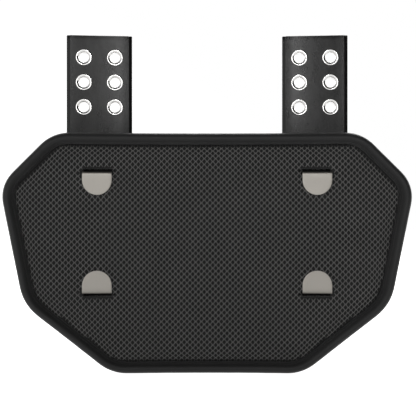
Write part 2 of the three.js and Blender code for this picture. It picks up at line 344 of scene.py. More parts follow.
def bow(x: np.ndarray | float) -> np.ndarray | float:
    """How far the plate curves towards the body at x from the middle."""
    return BOW_RADIUS - np.sqrt(BOW_RADIUS**2 - np.asarray(x, float) ** 2)


def on_plate(x: np.ndarray, depth: np.ndarray, z: np.ndarray) -> np.ndarray:
    """Points of the bowed plate.

    Args:
        x: across.
        depth: from the shell's inner face, negative towards the body.
        z: up.

    Returns:
        The points in the row frame.
    """
    return np.column_stack([x, depth + DEPTH_ZERO - bow(x), z])


@dataclass(frozen=True)
class PadOutline:
    """The pad's outline: eight rounded corners, the same left and right, from the top down.

    Its sizes are in millimetres. What it gives is in metres.
    """

    half_widths: tuple[float, ...] = (117.9, 157.1, 139.6, 73.6)
    drops: tuple[float, ...] = (0.0, 40.7, 131.6, 185.4)
    fillets: tuple[float, ...] = (29.5, 27.1, 38.1, 33.7)
    least_fillet: float = 3.0
    arc_steps: int = 8
    stride: float = 4.0
    straight_share: float = 0.75

    def ring(self, inset: float) -> np.ndarray:
        """Points of the outline moved inwards.

        Args:
            inset: how far, in metres.

        Returns:
            Rows of x, z. Every inset has the same number of points, at matching places.
        """
        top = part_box("edge_roll")[1].z / MM
        right = [
            np.array([w, top - d]) for w, d in zip(self.half_widths, self.drops, strict=True)
        ]
        corners = right + [c * (-1, 1) for c in reversed(right)]
        radii = list(self.fillets) + list(reversed(self.fillets))
        n, move = len(corners), inset / MM
        ways = [corners[(i + 1) % n] - corners[i] for i in range(n)]
        lengths = [float(np.linalg.norm(w)) for w in ways]
        ways = [w / length for w, length in zip(ways, lengths, strict=True)]
        inward = [np.array([w[1], -w[0]]) for w in ways]
        arcs = []
        for i in range(n):
            before, after = i - 1, i
            turn = math.acos(float(np.clip(ways[before] @ ways[after], -1, 1)))
            half = inward[before] + inward[after]
            corner = corners[i] + half * move / (half @ inward[after])
            radius = max(radii[i] - move, self.least_fillet)
            start = corner - ways[before] * radius * math.tan(turn / 2)
            centre = start + inward[before] * radius
            angles = -np.linspace(0, turn, self.arc_steps + 1)
            spoke = -inward[before] * radius
            arcs.append(
                centre
                + np.column_stack(
                    [
                        spoke[0] * np.cos(angles) - spoke[1] * np.sin(angles),
                        spoke[0] * np.sin(angles) + spoke[1] * np.cos(angles),
                    ]
                )
            )
        points = []
        for i in range(n):
            points.extend(arcs[i])
            steps = max(2, round(lengths[i] * self.straight_share / self.stride))
            start, end = arcs[i][-1], arcs[(i + 1) % n][0]
            points.extend(start + (end - start) * k / steps for k in range(1, steps))
        return np.array(points) * MM

    def length(self) -> float:
        """The length of the outline."""
        ring = self.ring(0.0)
        return float(np.linalg.norm(ring - np.roll(ring, -1, axis=0), axis=1).sum())

    def inset_of(self, x: np.ndarray, z: np.ndarray) -> tuple[np.ndarray, np.ndarray]:
        """How far inside the outline points lie.

        Args:
            x: across.
            z: up.

        Returns:
            The distances, and for each the unit way to the nearest edge, as rows of x, z.
        """
        ring = self.ring(0.0)
        start, way = ring, np.roll(ring, -1, axis=0) - ring
        squares = (way**2).sum(axis=1)
        points = np.column_stack([x, z])
        distance, outwards = np.zeros(len(points)), np.zeros((len(points), 2))
        for first in range(0, len(points), BATCH):
            part = points[first : first + BATCH]
            rel = part[:, None, :] - start[None]
            share = np.clip((rel * way).sum(axis=2) / squares, 0, 1)
            gap = share[:, :, None] * way - rel
            far = (gap**2).sum(axis=2)
            best = far.argmin(axis=1)
            rows = np.arange(len(part))
            reach = np.sqrt(far[rows, best])
            distance[first : first + BATCH] = reach
            outwards[first : first + BATCH] = gap[rows, best] / np.maximum(reach, 1e-9)[:, None]
        return distance, outwards


@dataclass(frozen=True)
class FlatFrame:
    """The flat frame of a strap and its tabs: across, outwards and up.

    It is tangent to the plate, but for the small angle that it is eased by.
    """

    side: Side
    eased: float = math.radians(0.6)

    @property
    def turn(self) -> float:
        """The frame's turn about the upright axis."""
        return -self.side.value * (math.asin(STRAP_OFFSET / BOW_RADIUS) - self.eased)

    def matrix(self, across: float = 0.0, out: float = 0.0, up: float = 0.0) -> Matrix:
        """The frame's matrix, moved within itself.

        Args:
            across: how far it is moved along its own X, in metres.
            out: the same, along its Y.
            up: the same, along its Z.

        Returns:
            The matrix from the frame to the plate.
        """
        foot = Vector(
            (self.side.value * STRAP_OFFSET, DEPTH_ZERO - float(bow(STRAP_OFFSET)), 0.0)
        )
        return (
            Matrix.Translation(foot)
            @ Matrix.Rotation(self.turn, 4, "Z")
            @ Matrix.Translation((across, out, up))
        )

    def settle(
        self, piece: bpy.types.Object, across: float = 0.0, out: float = 0.0, up: float = 0.0
    ) -> bpy.types.Object:
        """Moves a piece that was made about the origin into the frame.

        Args:
            piece: the mesh object. Its mesh moves, and the object stays at the origin.
            across: the piece's place in the frame.
            out: the same, outwards.
            up: the same, upwards.

        Returns:
            The same object.
        """
        piece.data.transform(self.matrix(across, out, up))
        return piece


@dataclass(frozen=True)
class TabPlace:
    """Where one sprung tab sits: its flat edge at the bend and its rounded tip."""

    side: Side
    level: Level
    half_width: float = 11.2 * MM
    covered: float = 1.5 * MM

    @property
    def key(self) -> str:
        """The tab's words in node names, such as upper_left."""
        return f"{self.level.label}_{self.side.label}"

    @property
    def edge(self) -> float:
        """The height of the flat edge, where the metal comes out of the pad."""
        low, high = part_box(f"{self.key}_tongue")
        return high.z if self.level is Level.UPPER else low.z

    @property
    def length(self) -> float:
        """From the flat edge to the tip."""
        low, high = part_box(f"{self.key}_tongue")
        return high.z - low.z

    @property
    def centre_x(self) -> float:
        """The middle of the tab, across the plate."""
        low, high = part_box(f"{self.key}_tongue")
        return (low.x + high.x) / 2

    def beyond_edge(self, z: np.ndarray) -> np.ndarray:
        """How far heights are from the flat edge towards the tip."""
        return (self.edge - z) * self.level.value

    def distance(self, x: np.ndarray, z: np.ndarray) -> np.ndarray:
        """Measures how far points of the pad's face are from the tab.

        Args:
            x: across.
            z: up.

        Returns:
            The distances, 0 under the tab and its bend.
        """
        across, along = np.abs(x - self.centre_x), self.beyond_edge(z)
        middle = self.length - self.half_width
        round_end = np.hypot(across, along - middle) - self.half_width
        square_end = np.hypot(
            np.maximum(across - self.half_width, 0), np.maximum(-along - self.covered, 0)
        )
        return np.maximum(np.where(along > middle, round_end, square_end), 0)


TAB_PLACES = [TabPlace(side, level) for side in Side for level in Level]
OUTLINE = PadOutline()

# ---------------------------------------------------------------- node helpers


class Bench:
    """Adds and joins the nodes of one node tree."""

    def __init__(self, tree: bpy.types.NodeTree) -> None:
        """Starts on a tree."""
        self.tree = tree

    def add(
        self, kind: str, inputs: Optional[dict[str | int, object]] = None, **settings: object
    ) -> bpy.types.Node:
        """Adds a node.

        Args:
            kind: the node's type, without its ShaderNode prefix.
            inputs: a value or an output socket for each input, by name or place.
            settings: the node's properties by name.

        Returns:
            The node.
        """
        node = self.tree.nodes.new(f"ShaderNode{kind}")
        for name, value in settings.items():
            setattr(node, name, value)
        for name, value in (inputs or {}).items():
            if isinstance(value, bpy.types.NodeSocket):
                self.tree.links.new(value, node.inputs[name])
            else:
                node.inputs[name].default_value = value
        return node

    def math(self, operation: str, *values: object) -> bpy.types.NodeSocket:
        """A Math node's result from its one to three values."""
        return self.add("Math", dict(enumerate(values)), operation=operation).outputs[0]

    def mixed(self, share: object, first: object, second: object) -> bpy.types.NodeSocket:
        """Mixes two colours.

        Args:
            share: how much of the second, from 0 to 1.
            first: a colour or a socket.
            second: a colour or a socket.

        Returns:
            The mixed colour.
        """
        node = self.add("Mix", data_type="RGBA")
        for place, value in ((0, share), (6, first), (7, second)):
            if isinstance(value, bpy.types.NodeSocket):
                self.tree.links.new(value, node.inputs[place])
            else:
                node.inputs[place].default_value = value
        return node.outputs[2]

    def between(self, value: object, low: float, high: float) -> bpy.types.NodeSocket:
        """A value from 0 to 1, spread to run from low to high."""
        return self.ramp(value, (0.0, 1.0), (low, high))

    def ramp(
        self, value: object, given: tuple[float, float], wanted: tuple[float, float] = (0.0, 1.0)
    ) -> bpy.types.NodeSocket:
        """Spreads a value from one range to another, held at both ends.

        Args:
            value: a number or a socket.
            given: where the value starts and ends.
            wanted: what it becomes there.

        Returns:
            The new value.
        """
        inputs = {"Value": value, "From Min": given[0], "From Max": given[1]}
        inputs |= {"To Min": wanted[0], "To Max": wanted[1]}
        return self.add("MapRange", inputs).outputs["Result"]

    def group(self, tree: bpy.types.NodeTree, **inputs: object) -> bpy.types.Node:
        """Places a shared effect.

        Args:
            tree: the effect's node group.
            inputs: a value or a socket for each input, with _ for a space in its name.

        Returns:
            The group's node.
        """
        node = self.add("Group", node_tree=tree)
        for name, value in inputs.items():
            socket = node.inputs[name.replace("_", " ")]
            if isinstance(value, bpy.types.NodeSocket):
                self.tree.links.new(value, socket)
            else:
                socket.default_value = value
        return node


def shared_effect(
    name: str, inputs: dict[str, str], outputs: dict[str, str]
) -> tuple[Bench, bpy.types.Node, bpy.types.Node]:
    """An empty node group with named sockets.

    Args:
        name: the group's name.
        inputs: the kind of each input, by name.
        outputs: the kind of each output, by name.

    Returns:
        The bench of the group, and its input and output nodes.
    """
    tree = bpy.data.node_groups.new(name, "ShaderNodeTree")
    for way, sockets in (("INPUT", inputs), ("OUTPUT", outputs)):
        for socket, kind in sockets.items():
            tree.interface.new_socket(socket, in_out=way, socket_type=f"NodeSocket{kind}")
    return (
        Bench(tree),
        tree.nodes.new("NodeGroupInput"),
        tree.nodes.new("NodeGroupOutput"),
    )


class Effects:
    """The surface effects that several finishes share."""

    def __init__(self) -> None:
        """Builds each group once."""
        self.grain = self._grain()
        self.knit = self._knit()
        self.scuffs = self._scuffs()

    @staticmethod
    def _grain() -> bpy.types.NodeTree:
        """Fine grain over soft mottling.

        Returns:
            The group, with a height and a tone.
        """
        bench, given, result = shared_effect(
            "fine_grain",
            {"Vector": "Vector", "Scale": "Float", "Mottle Scale": "Float"},
            {"Height": "Float", "Tone": "Float"},
        )
        fine = bench.add(
            "TexNoise",
            {"Vector": given.outputs["Vector"], "Scale": given.outputs["Scale"], "Detail": 4.0,
             "Roughness": 0.65},
        )
        broad = bench.add(
            "TexNoise",
            {"Vector": given.outputs["Vector"], "Scale": given.outputs["Mottle Scale"],
             "Detail": 2.0},
        )
        tone = bench.math(
            "ADD",
            bench.math("MULTIPLY", fine.outputs["Fac"], 0.45),
            bench.math("MULTIPLY", broad.outputs["Fac"], 0.55),
        )
        bench.tree.links.new(fine.outputs["Fac"], result.inputs["Height"])
        bench.tree.links.new(tone, result.inputs["Tone"])
        return bench.tree

    @staticmethod
    def _knit() -> bpy.types.NodeTree:
        """Rows of small slanting stitches, on a map with real lengths.

        Returns:
            The group, with a height and the gaps between stitches.
        """
        bench, given, result = shared_effect(
            "close_knit",
            {"Vector": "Vector", "Pitch": "Float", "Slant": "Float"},
            {"Height": "Float", "Gap": "Float"},
        )
        parts = bench.add("SeparateXYZ", {0: given.outputs["Vector"]})
        across = bench.math("DIVIDE", parts.outputs["X"], given.outputs["Pitch"])
        along = bench.math("DIVIDE", parts.outputs["Y"], given.outputs["Pitch"])
        rib = bench.math("ABSOLUTE", bench.math("SINE", bench.math("MULTIPLY", across, math.pi)))
        loops_per_pitch, rib_roundness, lowest = 0.8, 0.6, 0.55
        lean = bench.math(
            "ADD",
            bench.math("MULTIPLY", along, 2 * math.pi * loops_per_pitch),
            bench.math("MULTIPLY", rib, given.outputs["Slant"]),
        )
        loop = bench.math("MULTIPLY_ADD", bench.math("SINE", lean), 0.5, 0.5)
        height = bench.math(
            "MULTIPLY",
            bench.math("POWER", rib, rib_roundness),
            bench.between(loop, lowest, 1.0),
        )
        bench.tree.links.new(height, result.inputs["Height"])
        bench.tree.links.new(bench.math("SUBTRACT", 1.0, height), result.inputs["Gap"])
        return bench.tree

    @staticmethod
    def _scuffs() -> bpy.types.NodeTree:
        """Sparse rubbed marks and dull patches from handling.

        Returns:
            The group, with a mask.
        """
        bench, given, result = shared_effect(
            "handling_scuffs",
            {"Vector": "Vector", "Scale": "Float", "Amount": "Float"},
            {"Mask": "Float"},
        )
        stretched = bench.add(
            "Mapping", {"Vector": given.outputs["Vector"], "Scale": (1.0, 1.0, 0.22)}
        )
        marks = bench.add(
            "TexNoise",
            {"Vector": stretched.outputs[0], "Scale": given.outputs["Scale"], "Detail": 5.0,
             "Roughness": 0.7},
        )
        patch = bench.ramp(marks.outputs["Fac"], (0.58, 0.76))
        bench.tree.links.new(
            bench.math("MULTIPLY", patch, given.outputs["Amount"]), result.inputs["Mask"]
        )
        return bench.tree


EFFECTS = Effects()
Colour = tuple[float, float, float, float]


def grey(level: float, warmth: float = 0.0) -> Colour:
    """A near-neutral colour: a linear grey, leaning warm by a share."""
    return (level * (1 + warmth), level, level * (1 - 1.6 * warmth), 1.0)


def scaled(colour: Colour, factor: float) -> Colour:
    """The colour made lighter or darker by a factor."""
    return tuple(c * factor for c in colour[:3]) + (1.0,)


@dataclass(frozen=True)
class Finish:
    """What every finish has: its name, colours and gloss."""

    name: str
    dark: Colour
    light: Colour
    roughness: float
    specular: float = 0.5

    def start(self) -> tuple[bpy.types.Material, Bench, bpy.types.Node, bpy.types.Node]:
        """Makes the material.

        Returns:
            The material, its bench, its surface shader and its coordinates.
        """
        material = bpy.data.materials.new(self.name)
        material.use_nodes = True
        bench = Bench(material.node_tree)
        shader = material.node_tree.nodes["Principled BSDF"]
        shader.inputs["Roughness"].default_value = self.roughness
        shader.inputs["Specular IOR Level"].default_value = self.specular
        return material, bench, shader, bench.add("TexCoord")

    @staticmethod
    def raise_surface(
        bench: Bench, shader: bpy.types.Node, height: bpy.types.NodeSocket, size: float,
        strength: float = 1.0,
    ) -> None:
        """Bumps the surface.

        Args:
            bench: the material's bench.
            shader: its surface shader.
            height: the pattern's height, from 0 to 1.
            size: how many metres the height stands for.
            strength: how much of the bump shows.
        """
        bump = bench.add("Bump", {"Height": height, "Strength": strength, "Distance": size})
        bench.tree.links.new(bump.outputs[0], shader.inputs["Normal"])


@dataclass(frozen=True)
class MeshYarn(Finish):
    """Open mesh fabric: matt yarn, with painted shade down the sides of each opening."""

    contrast: float = 0.28
    # where the painted shade in the openings starts and is full, as shares of the mesh's depth
    side_depths: tuple[float, float] = (0.10, 0.62)
    sheen: float = 0.08

    def make(self) -> bpy.types.Material:
        """Builds the material.

        Returns:
            The finished material.
        """
        material, bench, shader, coordinates = self.start()
        deep = bench.add("Attribute", attribute_name="mesh_depth")
        grain = bench.group(
            EFFECTS.grain, Vector=coordinates.outputs["Object"], Scale=2600.0, Mottle_Scale=60.0
        )
        fibres = bench.mixed(
            grain.outputs["Tone"],
            scaled(self.light, 1 - self.contrast),
            scaled(self.light, 1 + self.contrast),
        )
        # painted shade: the yarn turns to the dark colour as it goes down into each opening, where
        # shade falls
        sides = bench.ramp(deep.outputs["Fac"], self.side_depths)
        bench.tree.links.new(bench.mixed(sides, fibres, self.dark), shader.inputs["Base Color"])
        bench.tree.links.new(
            bench.between(grain.outputs["Height"], self.roughness - 0.1, self.roughness + 0.1),
            shader.inputs["Roughness"],
        )
        shader.inputs["Sheen Weight"].default_value = self.sheen
        self.raise_surface(bench, shader, grain.outputs["Height"], 0.12 * MM, 0.6)
        return material


@dataclass(frozen=True)
class KnitCloth(Finish):
    """Smooth close-knit cloth, on a map with real lengths or on the object's own coordinates."""

    pitch: float = 0.8 * MM
    slant: float = 2.0
    sheen: float = 0.15
    mapped: bool = True

    def make(self) -> bpy.types.Material:
        """Builds the material.

        Returns:
            The finished material.
        """
        material, bench, shader, coordinates = self.start()
        where = coordinates.outputs["UV" if self.mapped else "Object"]
        if not self.mapped:
            upright = {"Vector": where, "Rotation": (math.pi / 2, 0, 0)}
            where = bench.add("Mapping", upright).outputs[0]
        knit = bench.group(EFFECTS.knit, Vector=where, Pitch=self.pitch, Slant=self.slant)
        grain = bench.group(
            EFFECTS.grain, Vector=coordinates.outputs["Object"], Scale=1800.0, Mottle_Scale=35.0
        )
        tone = bench.math(
            "MULTIPLY_ADD",
            knit.outputs["Gap"],
            -0.35,
            bench.math("MULTIPLY_ADD", grain.outputs["Tone"], 0.9, 0.2),
        )
        bench.tree.links.new(bench.mixed(tone, self.dark, self.light), shader.inputs["Base Color"])
        bench.tree.links.new(
            bench.between(grain.outputs["Tone"], self.roughness - 0.12, self.roughness + 0.12),
            shader.inputs["Roughness"],
        )
        shader.inputs["Sheen Weight"].default_value = self.sheen
        shader.inputs["Sheen Roughness"].default_value = 0.45
        height = bench.math(
            "ADD", knit.outputs["Height"], bench.math("MULTIPLY", grain.outputs["Height"], 0.35)
        )
        self.raise_surface(bench, shader, height, 0.10 * MM, 0.55)
        return material


@dataclass(frozen=True)
class StrapCoating(Finish):
    """Coated strap stock: fine grain that runs along the strap, and near-black edges that are
    partly edge paint and partly painted shade, the dark reflection of the bevelled edges.
    """

    edge_paint: Colour = (0.005, 0.005, 0.005, 1.0)

    def make(self) -> bpy.types.Material:
        """Builds the material.

        Returns:
            The finished material.
        """
        material, bench, shader, coordinates = self.start()
        band = bench.add("Attribute", attribute_name="edge_band")
        stretched = bench.add(
            "Mapping", {"Vector": coordinates.outputs["Object"], "Scale": (1.0, 1.0, 0.35)}
        )
        grain = bench.group(
            EFFECTS.grain, Vector=stretched.outputs[0], Scale=1500.0, Mottle_Scale=140.0
        )
        scuffs = bench.group(
            EFFECTS.scuffs, Vector=coordinates.outputs["Object"], Scale=160.0, Amount=0.5
        )
        tone = bench.ramp(grain.outputs["Tone"], (0.40, 0.60))
        face = bench.mixed(tone, self.dark, self.light)
        worn = bench.mixed(scuffs.outputs["Mask"], face, scaled(self.light, 1.35))
        # the edge band's near-black colour is partly edge paint and partly painted shade: the dark
        # reflection that the bevelled edges show
        bench.tree.links.new(
            bench.mixed(band.outputs["Fac"], worn, self.edge_paint), shader.inputs["Base Color"]
        )
        bench.tree.links.new(
            bench.between(grain.outputs["Height"], self.roughness - 0.04, self.roughness + 0.08),
            shader.inputs["Roughness"],
        )
        self.raise_surface(bench, shader, grain.outputs["Height"], 0.09 * MM, 0.22)
        return material


@dataclass(frozen=True)
class PlatedMetal(Finish):
    """Plated metal, from bright polish to satin, with light handling marks."""

    brushed: float = 0.0

    def make(self) -> bpy.types.Material:
        """Builds the material.

        Returns:
            The finished material.
        """
        material, bench, shader, coordinates = self.start()
        shader.inputs["Metallic"].default_value = 1.0
        lines = bench.add(
            "Mapping", {"Vector": coordinates.outputs["Object"], "Scale": (1.0, 1.0, 14.0)}
        )
        grain = bench.group(
            EFFECTS.grain, Vector=lines.outputs[0], Scale=420.0, Mottle_Scale=90.0
        )
        scuffs = bench.group(
            EFFECTS.scuffs, Vector=coordinates.outputs["Object"], Scale=420.0, Amount=0.35
        )
        colour = bench.mixed(grain.outputs["Tone"], self.dark, self.light)
        bench.tree.links.new(colour, shader.inputs["Base Color"])
        rough = bench.math(
            "ADD",
            bench.between(grain.outputs["Tone"], self.roughness * 0.8, self.roughness * 1.2),
            bench.math("MULTIPLY", scuffs.outputs["Mask"], 0.2),
        )
        bench.tree.links.new(rough, shader.inputs["Roughness"])
        self.raise_surface(
            bench, shader, grain.outputs["Height"], 0.02 * MM, 0.03 + 0.5 * self.brushed
        )
        return material


@dataclass(frozen=True)
class MouldedPlastic(Finish):
    """Hard moulded plastic with a fine pebbled texture and rubbed high spots."""

    def make(self) -> bpy.types.Material:
        """Builds the material.

        Returns:
            The finished material.
        """
        material, bench, shader, coordinates = self.start()
        where = coordinates.outputs["Object"]
        grain = bench.group(EFFECTS.grain, Vector=where, Scale=900.0, Mottle_Scale=14.0)
        scuffs = bench.group(EFFECTS.scuffs, Vector=where, Scale=55.0, Amount=0.55)
        pebbles = bench.add(
            "TexVoronoi", {"Vector": where, "Scale": 1100.0}, feature="SMOOTH_F1"
        )
        colour = bench.mixed(grain.outputs["Tone"], self.dark, self.light)
        bench.tree.links.new(
            bench.mixed(scuffs.outputs["Mask"], colour, scaled(self.light, 2.2)),
            shader.inputs["Base Color"],
        )
        bench.tree.links.new(
            bench.math(
                "ADD",
                bench.between(grain.outputs["Tone"], self.roughness - 0.08, self.roughness + 0.08),
                bench.math("MULTIPLY", scuffs.outputs["Mask"], 0.15),
            ),
            shader.inputs["Roughness"],
        )
        height = bench.math(
            "ADD", pebbles.outputs["Distance"], bench.math("MULTIPLY", grain.outputs["Height"], 0.5)
        )
        self.raise_surface(bench, shader, height, 0.12 * MM, 0.45)
        return material


class Wardrobe:
    """Every finish of the object, made once."""

    def __init__(self) -> None:
        """Builds the materials."""
        # the mesh's first colour is the painted shade down the sides of its openings
        self.mesh = MeshYarn(
            "mesh_yarn", grey(0.028, 0.015), grey(0.128, 0.015), roughness=0.85, specular=0.12
        ).make()
        self.backing = KnitCloth(
            "backing_cloth", grey(0.012), grey(0.032), roughness=0.9, specular=0.08,
            pitch=0.6 * MM, mapped=False,
        ).make()
        self.binding = KnitCloth(
            "edge_binding_knit", grey(0.0065), grey(0.0185), roughness=0.55, specular=0.32,
            pitch=0.7 * MM,
        ).make()
        self.thread = KnitCloth(
            "stitch_thread", grey(0.02), grey(0.06), roughness=0.7, specular=0.25,
            pitch=0.3 * MM, mapped=False,
        ).make()
        self.strap = StrapCoating(
            "strap_coating", grey(0.004, 0.012), grey(0.015, 0.012), roughness=0.13,
            specular=0.2,
        ).make()
        self.nickel = PlatedMetal(
            "polished_nickel", grey(0.80, 0.01), grey(0.90, 0.01), roughness=0.09
        ).make()
        self.satin = PlatedMetal(
            "satin_plate", grey(0.305, 0.055), grey(0.335, 0.055), roughness=0.46, brushed=0.3
        ).make()
        self.rivet = PlatedMetal(
            "rivet_plate", grey(0.5), grey(0.62), roughness=0.28, brushed=0.1
        ).make()
        self.shell = MouldedPlastic(
            "moulded_shell", grey(0.010), grey(0.018), roughness=0.48, specular=0.4
        ).make()
        self.lining = KnitCloth(
            "lining_cloth", grey(0.008), grey(0.02), roughness=0.9, specular=0.1,
            pitch=1.2 * MM, mapped=False,
        ).make()


FINISHES = Wardrobe()


def dress(piece: bpy.types.Object, finish: bpy.types.Material) -> None:
    """Gives the whole piece one finish.

    Args:
        piece: the mesh object.
        finish: the material.
    """
    piece.data.materials.clear()
    piece.data.materials.append(finish)
    for face in piece.data.polygons:
        face.material_index = 0


# ---------------------------------------------------------------- sub-assemblies


@dataclass
class EdgeRoll:
    """The soft rolled binding round the pad: knitted cloth over a cord of foam.

    The section's points are (inset from the outline, depth), in millimetres. The soft fields give
    its slight unevenness, and its surface is kept from before the bow, for the stitches.
    """

    section: tuple[tuple[float, float], ...] = (
        (5.0, -0.35), (1.9, -0.45), (0.45, -1.7), (0.02, -4.6), (-0.04, -9.0), (0.0, -13.2),
        (0.55, -16.9), (2.0, -19.5), (4.1, -20.45), (6.0, -19.8), (7.5, -17.9), (8.4, -15.6),
        (8.8, -13.4), (8.8, -10.0), (8.7, -5.0), (8.4, -1.3), (7.4, -0.4),
    )
    softness: float = 0.14 * MM
    soft_depths: tuple[float, float] = (6 * MM, 14 * MM)
    soft_seed: int = 7
    soft_waves: tuple[int, ...] = (5, 9, 14, 23, 37)
    soft_out: float = 0.8
    soft_across: float = 0.5
    middle_drop: float = 38 * MM
    stitch_inset: float = 7.75 * MM
    stitch_pitch: float = 3.0 * MM
    stitch_length: float = 2.0 * MM
    stitch_radius: float = 0.24 * MM
    stitch_round: float = 0.15 * MM
    stitch_crease: float = 60.0
    surface: Optional[BVHTree] = None

    def make(self) -> bpy.types.Object:
        """Builds the roll, and keeps its surface before the bow for the stitches.

        Returns:
            The roll on the plate.
        """
        rings = np.stack([OUTLINE.ring(inset * MM) for inset, _ in self.section])
        depths = np.array([depth * MM for _, depth in self.section])
        around, along = rings.shape[0], rings.shape[1]

        def place(column: np.ndarray, row: np.ndarray) -> np.ndarray:
            """The section's points, all round the outline."""
            flat = rings[row % around, column % along]
            return np.column_stack([flat[:, 0], depths[row % around], flat[:, 1]])

        piece = wrapped_grid("edge_roll_cloth", along, around, place)
        girth = sum(math.dist(a, b) for a, b in zip(self.section, self.section[1:])) * MM
        scale_uv(piece, OUTLINE.length(), girth)
        weld(piece)
        with_modifier(piece, "SUBSURF", levels=1, render_levels=1)
        points = points_of(piece)
        _, outwards = OUTLINE.inset_of(points[:, 0], points[:, 2])
        height = points[:, 2] + self.middle_drop
        station = np.arctan2(height, points[:, 0]) / (2 * math.pi)
        front = ease(-points[:, 1], *self.soft_depths)
        swell = ripple(station, 1, self.soft_seed, self.soft_waves) * self.softness * front
        points[:, 1] -= swell * self.soft_out
        points[:, [0, 2]] -= outwards * (np.abs(swell) * self.soft_across)[:, None]
        set_points(piece, points)
        self.surface = BVHTree.FromObject(piece, bpy.context.evaluated_depsgraph_get())
        set_points(piece, on_plate(*points.T))
        smooth(piece)
        dress(piece, FINISHES.binding)
        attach(piece, "plate")
        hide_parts("edge_roll")
        return piece

    def stitch(self) -> bpy.types.Object:
        """Sews the seam along the roll's inner flank.

        Returns:
            All the stitches, as one piece.
        """
        ring = OUTLINE.ring(self.stitch_inset)
        ways = np.roll(ring, -1, axis=0) - ring
        lengths = np.linalg.norm(ways, axis=1)
        starts = np.concatenate([[0.0], np.cumsum(lengths)])
        count = int(starts[-1] / self.stitch_pitch)
        clear_selection()
        bpy.ops.mesh.primitive_cylinder_add(
            vertices=6, radius=self.stitch_radius, depth=self.stitch_length,
            rotation=(0, math.pi / 2, 0),
        )
        pattern = bpy.context.object
        with_modifier(pattern, "BEVEL", width=self.stitch_round, segments=1)
        weld(pattern)
        stitches = []
        for k in range(count):
            along = starts[-1] * k / count
            leg = int(np.searchsorted(starts, along, side="right")) - 1
            point = ring[leg] + ways[leg] * (along - starts[leg]) / lengths[leg]
            heading = math.atan2(ways[leg][1], ways[leg][0])
            start = Vector((point[0], PROBE_START, point[1]))
            hit = self.surface.ray_cast(start, Vector((0, 1, 0)))[0]
            copy = copy_of(pattern, f"stitch_{k}")
            spot = on_plate(*np.array([[point[0]], [hit.y], [point[1]]]))[0]
            copy.data.transform(
                Matrix.Translation(spot)
                @ Matrix.Rotation(-heading, 4, "Y")
                @ pattern.matrix_world.to_3x3().to_4x4()
            )
            copy.matrix_world = Matrix.Identity(4)
            stitches.append(copy)
        discard(pattern)
        clear_selection()
        for copy in stitches:
            copy.select_set(True)
        bpy.context.view_layer.objects.active = stitches[0]
        bpy.ops.object.join()
        piece = bpy.context.object
        piece.name = piece.data.name = "valley_stitching"
        smooth(piece, self.stitch_crease)
        dress(piece, FINISHES.thread)
        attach(piece, "plate")
        return piece


